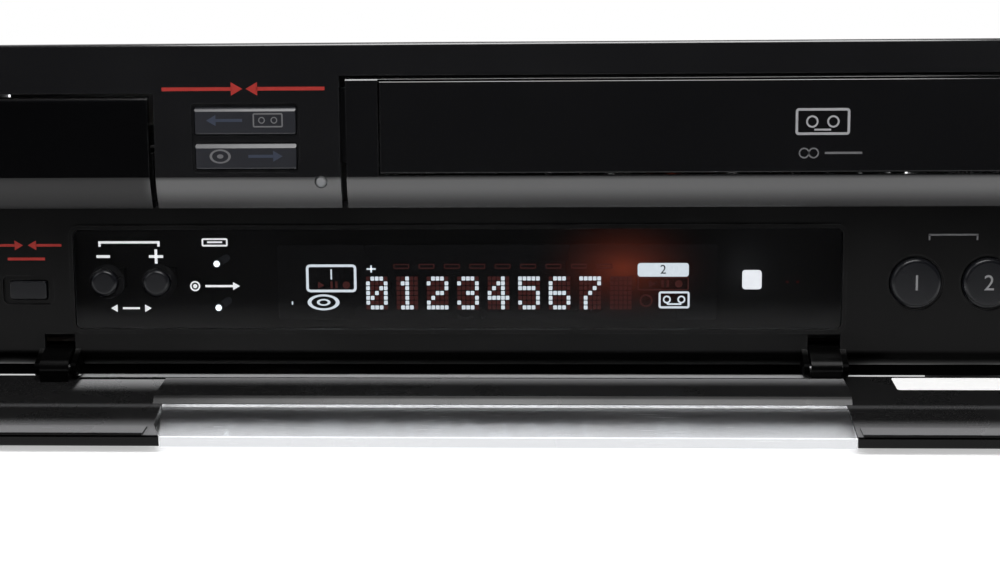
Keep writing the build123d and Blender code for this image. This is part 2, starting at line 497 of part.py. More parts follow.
def control_panel():
    """Recessed lower panel: raised window bezel, button holes, turned-in lower edge, hinges."""
    half = HALF - DOOR_WALL - 0.1
    back = PANEL_FACE + PANEL_SHEET
    turn_y = PANEL_FACE + PANEL_TURN_R
    inner_r = PANEL_TURN_R - PANEL_SHEET
    c45 = math.sqrt(0.5)
    section = make_face(Wire([
        Line((back, PANEL_TOP), (PANEL_FACE, PANEL_TOP)),
        Line((PANEL_FACE, PANEL_TOP), (PANEL_FACE, PANEL_TURN_Z)),
        ThreePointArc((PANEL_FACE, PANEL_TURN_Z),
                      (turn_y - PANEL_TURN_R * c45, PANEL_TURN_Z - PANEL_TURN_R * c45),
                      (turn_y, PANEL_TURN_Z - PANEL_TURN_R)),
        Line((turn_y, PANEL_TURN_Z - PANEL_TURN_R), (PANEL_LIP_BACK, PANEL_TURN_Z - PANEL_TURN_R)),
        Line((PANEL_LIP_BACK, PANEL_TURN_Z - PANEL_TURN_R), (PANEL_LIP_BACK, PANEL_TURN_Z - inner_r)),
        Line((PANEL_LIP_BACK, PANEL_TURN_Z - inner_r), (turn_y, PANEL_TURN_Z - inner_r)),
        ThreePointArc((turn_y, PANEL_TURN_Z - inner_r),
                      (turn_y - inner_r * c45, PANEL_TURN_Z - inner_r * c45), (back, PANEL_TURN_Z)),
        Line((back, PANEL_TURN_Z), (back, PANEL_TOP)),
    ]))
    panel = along_x(section, -half, half)
    panel += along_y(rect(BEZEL_LEFT, BEZEL_RIGHT, BEZEL_BOTTOM, BEZEL_TOP, WINDOW_CORNER + BEZEL_BORDER),
                     PANEL_FACE - BEZEL_PROUD, PANEL_FACE + 0.5)
    panel -= along_y(rect(WINDOW_LEFT, WINDOW_RIGHT, WINDOW_BOTTOM, WINDOW_TOP, WINDOW_CORNER),
                     PANEL_FACE - 3, back + 1)
    # hinge pockets, each with two cheeks that hold the pin
    for x0, x1 in DOOR_LUGS:
        pocket0, pocket1 = x0 - RUNNING_GAP, x1 + RUNNING_GAP
        lug_room = rect(PANEL_FACE - 2, LUG_ROOM_BACK, PANEL_TURN_Z - PANEL_TURN_R - 1, LUG_POCKET_TOP)
        panel -= along_x(lug_room, pocket0, pocket1)
        cheek = outline((DOOR_PIVOT_Y, DOOR_PIVOT_Z + CHEEK_R), (PANEL_FACE + 0.6, DOOR_PIVOT_Z + 5.5),
                        (PANEL_FACE + 4, DOOR_PIVOT_Z + 2), (PANEL_FACE + 4, DOOR_PIVOT_Z),
                        (PANEL_FACE + 0.5, DOOR_PIVOT_Z - 1.2), (DOOR_PIVOT_Y, DOOR_PIVOT_Z - CHEEK_R))
        cheek += Pos(DOOR_PIVOT_Y, DOOR_PIVOT_Z) * Circle(CHEEK_R)
        cheek -= Pos(DOOR_PIVOT_Y, DOOR_PIVOT_Z) * Circle(DOOR_PIN_R + PIN_GAP)
        for c0 in (pocket0 - HINGE_CHEEK, pocket1):
            panel += along_x(cheek, c0, c0 + HINGE_CHEEK)
    for _, x, z in ROUND_BUTTONS:
        seat = Pos(x, z) * Circle(ROUND_BUTTON_R + 0.8)
        panel -= along_y(seat, PANEL_FACE - 1, PANEL_FACE + 0.5)
        panel -= post_y(x, z, ROUND_BUTTON_R + RUNNING_GAP, PANEL_FACE - 1, back + 1)
    for _, x, z in KEY_BUTTONS:
        panel -= along_y(Pos(x, z) * RectangleRounded(KEY_WIDTH + 4.2, KEY_HEIGHT + 3.2, 1.8),
                         PANEL_FACE - 1, PANEL_FACE + 0.8)
        panel -= along_y(Pos(x, z) * RectangleRounded(KEY_WIDTH + 0.6, KEY_HEIGHT + 0.6, 1.0),
                         PANEL_FACE - 1, back + 1)
    for x in JACK_XS:
        panel -= post_y(x, JACK_Z, JACK_R + FIT_GAP, PANEL_FACE - 1, back + 1)
    panel -= post_y(ROUND_SOCKET_X, JACK_Z, ROUND_SOCKET_R + FIT_GAP, PANEL_FACE - 1, back + 1)
    for x, z in BOSS_POINTS:
        panel += post_y(x, z, 2.4, back - 0.2, BOARD_FRONT)
    return panel


def display_window():
    """Smoked lens set in the bezel, stepped at the back so that it can't fall through."""
    front = PANEL_FACE - BEZEL_PROUD + WINDOW_SUNK
    back = PANEL_FACE + PANEL_SHEET
    lens = along_y(rect(WINDOW_LEFT + FIT_GAP, WINDOW_RIGHT - FIT_GAP, WINDOW_BOTTOM + FIT_GAP,
                        WINDOW_TOP - FIT_GAP, WINDOW_CORNER - FIT_GAP), front, back + 0.1)
    lens += along_y(rect(WINDOW_LEFT - 1, WINDOW_RIGHT + 1, WINDOW_BOTTOM - 1, WINDOW_TOP + 1, 1.0),
                    back, back + 1.0)
    for _, x, z in SMALL_ROUND_BUTTONS:
        lens -= post_y(x, z, SMALL_ROUND_R + RUNNING_GAP, front - 1, back + 2)
    for x, z in WINDOW_PIPES:
        lens -= post_y(x, z, PIPE_R + FIT_GAP / 2, front - 1, back + 2)
    return lens


def indicator_pipes():
    """Two clear light pipes that carry the lamps on the board to the front of the window."""
    group = []
    front = PANEL_FACE - BEZEL_PROUD + WINDOW_SUNK - 0.2
    for x, z in WINDOW_PIPES:
        turned = outline((0, front), (PIPE_R * 0.7, front + 0.1), (PIPE_R, front + 0.5),
                         (PIPE_R, BOARD_FRONT), (0, BOARD_FRONT))
        group.append(Pos(x, 0, z) * revolve(Plane.XY * turned, Axis.Y))
    return Compound(children=group)


# ---- front door -----------------------------------------------------------------------
def hang_open(shape):
    """Turns a piece of the shut door about the hinge pins to where it rests."""
    pivot = Pos(0, DOOR_PIVOT_Y, DOOR_PIVOT_Z)
    return pivot * Rot(DOOR_OPEN, 0, 0) * pivot.inverse() * shape


def front_door():
    """Full-width flap, black moulding with a clear middle, two hinge lugs and inner ridges."""
    door = along_y(rect(-DOOR_HALF, DOOR_HALF, DOOR_BOTTOM, DOOR_TOP), 0, DOOR_THICK)
    door = fillet(door.edges().filter_by(Axis.X).sort_by(Axis.Y)[:2], 0.9)
    lens_low = DOOR_BOTTOM + DOOR_LENS_START
    slant = 4.0
    lens_gap = outline((DOOR_LENS_LEFT - 1.5, lens_low), (DOOR_LENS_RIGHT + 0.5, lens_low),
                       (DOOR_LENS_RIGHT - 0.5, DOOR_TOP + 1), (DOOR_LENS_LEFT + slant, DOOR_TOP + 1))
    door -= along_y(lens_gap, -1, DOOR_THICK + 1)
    # raised inner ridge beside the hinge and a low rim along the free edge
    ridge = rect(DOOR_RIDGE_LEFT, DOOR_RIDGE_RIGHT, DOOR_BOTTOM, DOOR_BOTTOM + 3.4)
    door += along_y(ridge, DOOR_THICK - 0.1, DOOR_THICK + DOOR_RIDGE_HIGH)
    # a raised step before the clear middle, its sloped face towards the free edge
    step = outline((DOOR_THICK - 0.1, DOOR_BOTTOM + DOOR_STEP_START),
                   (DOOR_THICK + DOOR_STEP_HIGH, DOOR_BOTTOM + DOOR_STEP_START + 1.2),
                   (DOOR_THICK + DOOR_STEP_HIGH, DOOR_BOTTOM + DOOR_STEP_EDGE),
                   (DOOR_THICK - 0.1, DOOR_BOTTOM + DOOR_STEP_EDGE + DOOR_STEP_HIGH))
    door += along_x(step, DOOR_STEP_LEFT, DOOR_STEP_RIGHT)
    for x0, x1 in ((-DOOR_HALF, DOOR_LENS_LEFT), (DOOR_LENS_RIGHT, DOOR_HALF)):
        door += along_y(rect(x0 + 1, x1 - 1, DOOR_TOP - 7, DOOR_TOP - 0.8), DOOR_THICK - 0.1,
                        DOOR_THICK + DOOR_RIM_HIGH)
    door -= along_y(outline((DOOR_LENS_LEFT - 1.5, lens_low), (DOOR_LENS_LEFT, DOOR_TOP - 10),
                            (DOOR_LENS_LEFT + slant, DOOR_TOP + 1), (DOOR_LENS_LEFT + 20, lens_low)),
                    -1, DOOR_THICK + 2)
    door = hang_open(door)
    # each arm is drawn as it lies with the door open: knuckle on the pin, nose in the panel's slot
    y, z = DOOR_PIVOT_Y, DOOR_PIVOT_Z
    arm = Pos(y, z) * Circle(DOOR_KNUCKLE_R)
    arm += outline((y - DOOR_KNUCKLE_R, z), (y - 2.8, z - 4.4), (y + 2.9, z - 4.0), (y + DOOR_KNUCKLE_R, z))
    arm += outline((y - 1.8, z + 2.8), (PANEL_FACE + 0.2, z + 6.0), (PANEL_FACE + 2.4, z + 6.0),
                   (PANEL_FACE + 2.4, z + 3.8), (y + 2.9, z - 1.6))
    arm -= Pos(y, z) * Circle(DOOR_PIN_R)
    for x0, x1 in DOOR_LUGS:
        door += along_x(arm, x0, x1)
    return door


def door_lens():
    """Clear middle of the door, running out to the free edge and stepped into the frame."""
    lens_low = DOOR_BOTTOM + DOOR_LENS_START
    shape = outline((DOOR_LENS_LEFT - 1.5 + FIT_GAP, lens_low + FIT_GAP),
                    (DOOR_LENS_RIGHT + 0.5 - FIT_GAP, lens_low + FIT_GAP),
                    (DOOR_LENS_RIGHT - 0.5 - FIT_GAP, DOOR_TOP - 0.1),
                    (DOOR_LENS_LEFT + 4.0 - 0.2, DOOR_TOP - 0.1))
    return hang_open(along_y(shape, 0, DOOR_THICK))


def hinge_pins():
    group = []
    for x0, x1 in DOOR_LUGS:
        reach = RUNNING_GAP + HINGE_CHEEK
        group.append(post_x(DOOR_PIVOT_Y, DOOR_PIVOT_Z, DOOR_PIN_R, x0 - reach, x1 + reach))
    return Compound(children=group)


# ---- buttons ----------------------------------------------------------------------------
def button(cap, flange, front, wall_back, crown):
    """A moulded cap with a domed front and a flange that stops behind the panel."""
    body = along_y(cap, front, wall_back + RUNNING_GAP + 0.1)
    body = fillet(body.faces().sort_by(Axis.Y)[0].edges(), crown)
    body += along_y(flange, wall_back + RUNNING_GAP, wall_back + RUNNING_GAP + 1.0)
    return body


def round_button(x, z):
    return button(Pos(x, z) * Circle(ROUND_BUTTON_R), Pos(x, z) * Circle(ROUND_BUTTON_R + 1.2),
                  PANEL_FACE - 1.6, PANEL_FACE + PANEL_SHEET, 1.3)


def small_round_button(x, z):
    lens_back = PANEL_FACE + PANEL_SHEET + 1.0
    return button(Pos(x, z) * Circle(SMALL_ROUND_R), Pos(x, z) * Circle(SMALL_ROUND_R + 1.2),
                  PANEL_FACE - 1.3, lens_back, 1.2)


def key_button(x, z):
    return button(Pos(x, z) * RectangleRounded(KEY_WIDTH, KEY_HEIGHT, 0.8),
                  Pos(x, z) * RectangleRounded(KEY_WIDTH + 2.4, KEY_HEIGHT + 2.4, 0.8),
                  PANEL_FACE - 0.4, PANEL_FACE + PANEL_SHEET, 0.35)


def dub_button(low, high):
    """A long button with a sloped upper edge that catches the light."""
    cap = button(rect(DUB_LEFT, DUB_RIGHT, low, high, 0.6),
                 rect(DUB_LEFT - 1.2, DUB_RIGHT + 1.2, low - 0.9, high + 0.9, 0.6),
                 DUB_FACE, SKIN, 0.4)
    slope = outline((DUB_FACE - 1, high + 1), (DUB_FACE - 1, high - DUB_BEVEL_HIGH),
                    (DUB_FACE, high - DUB_BEVEL_HIGH), (DUB_FACE + DUB_BEVEL_DEEP, high),
                    (DUB_FACE + DUB_BEVEL_DEEP, high + 1))
    return cap - along_x(slope, DUB_LEFT - 1, DUB_RIGHT + 1)


def indicator_lamp():
    """Small lamp lens in the band beside the dubbing buttons."""
    front = 0.35
    turned = outline((0, front - 0.25), (LAMP_R * 0.7, front - 0.1), (LAMP_R, front + 0.4), (LAMP_R, 5.0),
                     (LAMP_R + 0.9, 5.3), (LAMP_R + 0.9, 6.3), (0, 6.3))
    return Pos(LAMP_X, 0, LAMP_Z) * revolve(Plane.XY * turned, Axis.Y)


# ---- behind the panel ---------------------------------------------------------------------
def front_board():
    """Long printed board behind the lower panel, on the panel's bosses, with key switches."""
    board = along_y(rect(-210, 210, 20.0, LOADER_BASE - 0.8, 1.0), BOARD_FRONT, BOARD_FRONT + BOARD_THICK)
    switches = [(x, z, PANEL_FACE + PANEL_SHEET) for _, x, z in ROUND_BUTTONS + KEY_BUTTONS]
    switches += [(x, z, PANEL_FACE + PANEL_SHEET + 1.0) for _, x, z in SMALL_ROUND_BUTTONS]
    for x, z, wall_back in switches:
        flange_back = wall_back + RUNNING_GAP + 1.0
        board += along_y(Pos(x, z) * Rectangle(6, 6), BOARD_FRONT - 3.5, BOARD_FRONT + 0.1)
        board += post_y(x, z, 1.7, flange_back + BUTTON_TRAVEL + 0.1, BOARD_FRONT - 3.4)
    return board


def display_tube():
    """Flat glass display tube on the board: a front plate, a sealed body and an exhaust tip."""
    tube = along_y(rect(TUBE_LEFT, TUBE_RIGHT, TUBE_BOTTOM, TUBE_TOP, 0.8), TUBE_FRONT, TUBE_FRONT + 2.2)
    tube += along_y(rect(TUBE_LEFT + 2, TUBE_RIGHT - 2, TUBE_BOTTOM + 2, TUBE_TOP - 2, 0.8),
                    TUBE_FRONT + 2.1, BOARD_FRONT)
    return tube


def front_jacks():
    """Three ring-contact jacks and a round multi-pin socket in one moulded block."""
    base_y = PANEL_FACE + PANEL_SHEET + 0.3
    jack = along_y(rect(JACK_XS[0] - 7, JACK_XS[-1] + 7, JACK_Z - 6.0, JACK_Z + 6.0, 1.0),
                   base_y, BOARD_FRONT)
    jack += along_y(rect(ROUND_SOCKET_X - 6.8, ROUND_SOCKET_X + 6.8, JACK_Z - 6.8, JACK_Z + 6.8, 1.0),
                    base_y, BOARD_FRONT)
    jack += along_y(rect(JACK_XS[-1] + 6, ROUND_SOCKET_X - 6, JACK_Z - 3, JACK_Z + 3), base_y, BOARD_FRONT)
    for x in JACK_XS:
        jack += post_y(x, JACK_Z, JACK_R, PANEL_FACE - 2.0, base_y + 0.1)
        jack -= post_y(x, JACK_Z, 3.3, PANEL_FACE - 3, base_y - 1)
        jack += post_y(x, JACK_Z, 2.4, PANEL_FACE - 1.4, base_y + 0.1)
        jack -= post_y(x, JACK_Z, 1.6, PANEL_FACE - 3, base_y + 6)
    jack += post_y(ROUND_SOCKET_X, JACK_Z, ROUND_SOCKET_R, PANEL_FACE - 0.6, base_y + 0.1)
    jack -= post_y(ROUND_SOCKET_X, JACK_Z, ROUND_SOCKET_R - 1.0, PANEL_FACE - 3, base_y + 3)
    return jack


# ---- disc loader --------------------------------------------------------------------------
def tooth_points(module, teeth, tooth_share):
    """Points of one tooth of a spur gear: involute flanks as straight-sided steps."""
    pitch_r = module * teeth / 2
    base_r = pitch_r * math.cos(math.radians(20))
    tip_r, root_r = pitch_r + 0.85 * module, pitch_r - 1.2 * module
    half = math.pi / teeth * tooth_share

    def flank(radius):
        if radius <= base_r:
            return half_base
        roll = math.sqrt((radius / base_r) ** 2 - 1)
        return half_base - (roll - math.atan(roll))

    pitch_roll = math.tan(math.radians(20))
    half_base = half / 2 * 2 + (pitch_roll - math.radians(20))
    radii = [root_r, base_r, (base_r + tip_r) / 2, tip_r]
    left = [(r, flank(r)) for r in radii]
    return left, root_r, tip_r


def pinion():
    """Tray pinion: spur teeth that mesh with the rack, and a hub on the loader's post."""
    flanks, root_r, _ = tooth_points(RACK_MODULE, PINION_TEETH, 0.46)
    points = []
    for i in range(PINION_TEETH):
        middle = 2 * math.pi * i / PINION_TEETH + PINION_PHASE
        for r, a in flanks:
            points.append((r * math.cos(middle - a), r * math.sin(middle - a)))
        for r, a in reversed(flanks):
            points.append((r * math.cos(middle + a), r * math.sin(middle + a)))
    gear = along_z(make_face(Polyline(*points, close=True)), RACK_LOW, RACK_HIGH)
    gear += post_z(0, 0, 4.5, LOADER_BASE + LOADER_BASE_THICK + 0.3, RACK_LOW + 0.1)
    gear -= post_z(0, 0, PINION_BORE_R, LOADER_BASE, RACK_HIGH + 1)
    return Pos(PINION_X, PINION_Y, 0) * gear


def disc_tray():
    """Sliding tray: round wells for two sizes of disc, a slot for the pickup, rails and rack."""
    left, right = TRAY_X - TRAY_HALF, TRAY_X + TRAY_HALF
    tray = along_z(rect(left, right, TRAY_FRONT, TRAY_REAR, 2.0), TRAY_UNDERSIDE, TRAY_TOP)
    tray -= post_z(TRAY_X, DISC_MIDDLE_Y, DISC_R, TRAY_FLOOR, TRAY_TOP + 1)
    tray -= post_z(TRAY_X, DISC_MIDDLE_Y, 41.0, TRAY_FLOOR - 0.8, TRAY_TOP + 1)
    slot = rect(TRAY_X - TRAY_SLOT_HALF, TRAY_X + TRAY_SLOT_HALF, DISC_MIDDLE_Y - 18, TRAY_REAR + 1)
    tray -= along_z(slot, TRAY_UNDERSIDE - 1, TRAY_TOP + 1)
    finger = Pos(TRAY_X, DISC_MIDDLE_Y) * repeated(GridLocations(2 * DISC_R - 6, 0, 2, 1), SlotOverall(34, 14, rotation=90))
    tray -= along_z(finger, TRAY_FLOOR - 0.8, TRAY_TOP + 1)
    back_web = rect(left, right, DISC_MIDDLE_Y + DISC_R + 6, TRAY_REAR - 3)
    tray -= along_z(back_web, TRAY_FLOOR, TRAY_TOP + 1)
    front_wall = along_y(rect(left + 4, right - 4, 64.0, 88.0, 2.0), TRAY_FRONT - 0.1, TRAY_FRONT + 1.9)
    tray += front_wall
    # rack under the left rail
    pitch = math.pi * RACK_MODULE
    add, ded = 0.85 * RACK_MODULE, 1.15 * RACK_MODULE
    half_mid = pitch * 0.46 / 2
    lean = math.tan(math.radians(20))
    first = PINION_Y + pitch / 2
    count = int((TRAY_REAR - first) / pitch)
    points = [(RACK_BACK_X, first - pitch), ]
    for i in range(-1, count):
        y = first + i * pitch
        points += [(RACK_PITCH_X - ded, y - half_mid - ded * lean), (RACK_PITCH_X + add, y - half_mid + add * lean),
                   (RACK_PITCH_X + add, y + half_mid - add * lean), (RACK_PITCH_X - ded, y + half_mid + ded * lean)]
    points.append((RACK_BACK_X, first + count * pitch))
    tray += along_z(make_face(Polyline(*points, close=True)), RACK_LOW, TRAY_UNDERSIDE + 0.1)
    return tray


def tray_door():
    """Gloss front of the tray, with the band along its foot and a frame of ribs behind."""
    wall = 2.0
    door = along_x(banded_skin(TRAY_DOOR_TOP, TRAY_FRONT, wall), TRAY_DOOR_LEFT, TRAY_DOOR_RIGHT)
    ribs = rect(TRAY_X - 60, TRAY_X + 60, 74, 87) - rect(TRAY_X - 58.5, TRAY_X + 58.5, 75.5, 85.5)
    door += along_y(ribs, wall - 0.1, TRAY_FRONT - 0.1)
    return door


def loader_frame():
    """Moulded frame of the disc loader: floor with the traverse opening, grooved side walls."""
    left, right = TRAY_X - TRAY_HALF - 1.0, TRAY_X + TRAY_HALF + 1.0
    floor_top = LOADER_BASE + LOADER_BASE_THICK
    floor = rect(left - LOADER_WALL, right + LOADER_WALL, LOADER_FRONT, LOADER_BACK, 1.5)
    floor -= rect(TRAY_X - TRAVERSE_HALF, TRAY_X + TRAVERSE_HALF, TRAVERSE_FRONT, TRAVERSE_BACK, 2.0)
    frame = along_z(floor, LOADER_BASE, floor_top)
    side = outline((left - LOADER_WALL, floor_top - 0.1), (left - LOADER_WALL, LOADER_WALL_TOP),
                   (left, LOADER_WALL_TOP), (left, TRAY_TOP + 2.0), (left + 3, TRAY_TOP + 2.0),
                   (left + 3, TRAY_TOP + RUNNING_GAP), (left, TRAY_TOP + RUNNING_GAP),
                   (left, TRAY_UNDERSIDE - RUNNING_GAP), (left + 3.4, TRAY_UNDERSIDE - RUNNING_GAP),
                   (left + 3.4, floor_top - 0.1))
    wall = along_y(side, LOADER_FRONT, LOADER_BACK)
    frame += wall
    frame += mirror(wall, Plane.YZ.offset(TRAY_X))
    frame += block(left, right, LOADER_BACK - LOADER_WALL, LOADER_BACK, floor_top - 0.1, LOADER_WALL_TOP)
    frame += post_z(PINION_X, PINION_Y, PINION_BORE_R - PIN_GAP, floor_top - 0.1, RACK_HIGH + 0.2)
    for x in (left + 6, right - 6):
        for y in (32, 185):
            frame += post_z(x, y, 4.0, BRACKET_TOP, LOADER_BASE + 0.1)
    for x in (TRAY_X - TRAVERSE_HALF - 4, TRAY_X + TRAVERSE_HALF + 4):
        for y in (TRAVERSE_FRONT + 12, TRAVERSE_BACK - 12):
            frame += post_z(x, y, 2.6, floor_top - 0.1, floor_top + 1.6)
    return frame


def traverse_frame():
    """Pressed frame in the loader's floor that carries the spindle motor and the sled rods."""
    gap = 1.0
    x0, x1 = TRAY_X - TRAVERSE_HALF + gap, TRAY_X + TRAVERSE_HALF - gap
    plate = along_z(rect(x0, x1, TRAVERSE_FRONT + gap, TRAVERSE_BACK - gap, 2.0), 58.6, TRAVERSE_TOP)
    plate -= along_z(rect(TRAY_X - 21, TRAY_X + 21, DISC_MIDDLE_Y + 19, TRAVERSE_BACK - 8, 2.0), 58, 61)
    plate -= post_z(TRAY_X, DISC_MIDDLE_Y, 4.2, 58, 61)
    for side in (-1, 1):
        for y in (TRAVERSE_FRONT + 4, TRAVERSE_BACK - 6):
            x = TRAY_X + side * SLED_ROD_OFFSET
            holder = block(x - 2.6, x + 2.6, y - 1.5, y + 1.5, TRAVERSE_TOP - 0.1, ROD_Z + 2.0)
            holder -= post_y(x, ROD_Z, SLED_ROD_R, y - 3, y + 3)
            plate += holder
    # tabs that rest on the loader's floor
    for y in (TRAVERSE_FRONT + 12, TRAVERSE_BACK - 12):
        tab = rect(x0 - 8, x0 + 1, y - 3.5, y + 3.5) + rect(x1 - 1, x1 + 8, y - 3.5, y + 3.5)
        plate += along_z(tab, TRAVERSE_TOP + 1.6, TRAVERSE_TOP + 2.6)
        risers = rect(x0, x0 + 1, y - 3.5, y + 3.5) + rect(x1 - 1, x1, y - 3.5, y + 3.5)
        plate += along_z(risers, TRAVERSE_TOP - 0.1, TRAVERSE_TOP + 2.6)
    return plate


def sled_rods():
    group = []
    for side in (-1, 1):
        x = TRAY_X + side * SLED_ROD_OFFSET
        group.append(post_y(x, ROD_Z, SLED_ROD_R, TRAVERSE_FRONT + 2.5, TRAVERSE_BACK - 4.5))
    return Compound(children=group)


def spindle_motor():
    """Flat motor under the traverse with a plain bearing for the spindle."""
    turned = outline((SPINDLE_R + PIN_GAP, 50.5), (14.0, 50.5), (14.5, 51.2), (14.5, 57.0), (13.0, 58.6),
                     (3.9, 58.6), (3.9, 63.0), (SPINDLE_R + PIN_GAP, 63.0))
    return Pos(TRAY_X, DISC_MIDDLE_Y, 0) * revolve(Plane.XZ * turned, Axis.Z)


def turntable():
    """Disc turntable and its spindle: rubbered rim, centring cone, shaft down into the motor."""
    turned = outline((0, 51.5), (SPINDLE_R, 51.5), (SPINDLE_R, 64.6), (14.0, 64.6), (15.0, 65.4),
                     (15.0, 68.6), (8.2, 68.6), (7.3, 70.4), (5.0, 71.6), (0, 71.6))
    table = revolve(Plane.XZ * turned, Axis.Z)
    table -= Pos(0, 0, 0) * post_z(0, 0, 13.0, 64, 66.0) - post_z(0, 0, 4.0, 63, 67)
    return Pos(TRAY_X, DISC_MIDDLE_Y, 0) * table


def clamp_bridge():
    """Steel bridge over the tray that carries the magnetic clamper in a stepped hole."""
    left, right = TRAY_X - TRAY_HALF - 3.0, TRAY_X + TRAY_HALF + 3.0
    sheet = rect(left, right, DISC_MIDDLE_Y - 24, DISC_MIDDLE_Y + 24, 3.0)
    sheet -= Pos(TRAY_X, DISC_MIDDLE_Y) * Circle(13.0)
    bridge = along_z(sheet, LOADER_WALL_TOP, LOADER_WALL_TOP + 1.2)
    for y in (DISC_MIDDLE_Y - 23, DISC_MIDDLE_Y + 22):
        bridge += block(left + 6, right - 6, y, y + 1.0, LOADER_WALL_TOP - 0, LOADER_WALL_TOP + 4.2)
    return bridge


def disc_clamper():
    """Puck that presses the disc on the turntable; its rim hangs on the bridge."""
    seat = LOADER_WALL_TOP + 1.2 + RUNNING_GAP
    turned = outline((4.0, 73.2), (12.4, 73.2), (12.4, seat), (CLAMPER_R, seat), (CLAMPER_R, seat + 1.6),
                     (12.0, seat + 2.6), (0, seat + 2.6), (0, 74.4), (4.0, 74.4))
    return Pos(TRAY_X, DISC_MIDDLE_Y, 0) * revolve(Plane.XZ * turned, Axis.Z)


def optical_pickup():
    """Laser sled on the two rods: body with bearings, a lens turret and the lens."""
    y0, y1 = DISC_MIDDLE_Y + 21.0, DISC_MIDDLE_Y + 51.0
    sled = along_z(rect(TRAY_X - 18, TRAY_X + 18, y0, y1, 3.0), 61.0, 65.2)
    for side in (-1, 1):
        x = TRAY_X + side * SLED_ROD_OFFSET
        sled += block(min(x, TRAY_X + side * 17) - (0 if side > 0 else 3.2),
                      max(x, TRAY_X + side * 17) + (3.2 if side > 0 else 0), y0 + 4, y1 - 4, 61.0, 65.0)
    for side in (-1, 1):
        x = TRAY_X + side * SLED_ROD_OFFSET
        sled -= post_y(x, ROD_Z, SLED_ROD_R + PIN_GAP, y0 - 1, y1 + 1)
    sled += along_z(rect(TRAY_X - 8, TRAY_X + 8, y0 + 2, y0 + 16, 2.0), 65.1, 66.6)
    sled += post_z(TRAY_X, y0 + 8, 2.5, 66.5, 67.3)
    return sled


def tray_motor():
    """Small can motor under the loader floor, with its shaft up through a boss."""
    turned = outline((0, 40.0), (9.5, 40.0), (10.0, 40.6), (10.0, 51.6), (9.5, 52.0), (3.0, 52.0),
                     (3.0, LOADER_BASE), (0, LOADER_BASE))
    return Pos(TRAY_X + 52, 38, 0) * revolve(Plane.XZ * turned, Axis.Z)


def loader_bracket():
    """Folded steel bridge that holds the disc loader above the power board."""
    left, right = TRAY_X - 68.5, TRAY_X + 68.5
    sheet = 1.2
    section = rect(left, right, PAN_TOP, BRACKET_TOP) - rect(left + sheet, right - sheet,
                                                            PAN_TOP - 1, BRACKET_TOP - sheet)
    bridge = along_y(section, 30, 196)
    bridge -= along_z(rect(TRAY_X - 40, TRAY_X + 40, 50, 176, 6.0), BRACKET_TOP - 4, BRACKET_TOP + 1)
    bridge -= post_z(TRAY_X + 52, 38, 11.5, BRACKET_TOP - 4, BRACKET_TOP + 1)
    windows = Pos(113, 30) * repeated(GridLocations(52, 0, 3, 1), RectangleRounded(38, 22, 4))
    bridge -= along_x(windows, left - 1, right + 1)
    return bridge


# ---- boards -----------------------------------------------------------------------------
def power_board():
    """Supply board: transformer, smoothing capacitors, finned heat sink and fuse."""
    top = BOARD_UNDERSIDE + BOARD_THICK
    left, back = POWER_BOARD_LEFT, POWER_BOARD_BACK
    board = along_z(rect(left, POWER_BOARD_RIGHT, POWER_BOARD_FRONT, back, 1.0), BOARD_UNDERSIDE, top)
    board += along_z(rect(left + 20, left + 54, back - 76, back - 40, 1.5), top - 0.1, top + 26)
    board += along_z(rect(left + 14, left + 60, back - 70, back - 46), top + 4, top + 20)
    for x, y, r, high in ((left + 80, back - 52, 9, 24), (left + 102, back - 52, 6, 18),
                          (left + 102, back - 70, 6, 18), (left + 20, POWER_BOARD_FRONT + 30, 5, 16)):
        board += post_z(x, y, r, top - 0.1, top + high)
    sink = rect(left + 66, left + 69, back - 40, back - 6)
    for i in range(5):
        y = back - 39 + i * 8
        sink += rect(left + 67, left + 78, y, y + 1.6)
    board += along_z(sink, top - 0.1, top + 24)
    return board


def main_board():
    """Main board under the cassette deck, with large chips and cut-outs for the deck's legs."""
    top = BOARD_UNDERSIDE + BOARD_THICK
    left, back = MAIN_BOARD_LEFT, MAIN_BOARD_BACK
    sheet = rect(left, MAIN_BOARD_RIGHT, MAIN_BOARD_FRONT, back, 1.5)
    for x in LEG_XS:
        for y in LEG_YS:
            sheet -= rect(x - 2.5, x + 3.7, y - 8, y + 8)
    board = along_z(sheet, BOARD_UNDERSIDE, top)
    for x, y, size, high in ((-28, 150, 28, 2.2), (-28, 200, 20, 1.8), (70, back - 26, 24, 2.0),
                             (-30, back - 68, 14, 1.6), (130, 110, 16, 1.6)):
        board += along_z(Pos(x, y) * RectangleRounded(size, size, 0.8), top - 0.1, top + high)
    for x, y in ((-46, 100), (-46, 116), (10, back - 18), (-10, back - 36), (120, back - 22)):
        board += post_z(x, y, 4.0, top - 0.1, top + 11)
    return board


def rear_jacks():
    """Two rows of ring-contact jacks moulded in one block on the main board's rear edge."""
    block_front = REAR_INNER - JACK_BLOCK_DEEP
    x0, x1 = REAR_AV_XS[0] - 9, REAR_AV_XS[-1] + 9
    body = along_y(rect(x0, x1, BOARD_UNDERSIDE + BOARD_THICK, REAR_AV_ZS[1] + 9, 1.5), block_front, REAR_INNER)
    for x in REAR_AV_XS:
        for z in REAR_AV_ZS:
            body += post_y(x, z, 4.6, REAR_INNER - 0.1, REAR_FACE + 1.0)
            body += post_y(x, z, 4.1, REAR_INNER, REAR_FACE + REAR_JACK_REACH)
            body -= post_y(x, z, 3.2, REAR_INNER - 1, REAR_FACE + REAR_JACK_REACH + 1)
            body += post_y(x, z, 2.4, REAR_INNER - 1.1, REAR_FACE + REAR_JACK_REACH - 1)
            body -= post_y(x, z, 1.6, REAR_INNER - 6, REAR_FACE + REAR_JACK_REACH + 1)
    return body


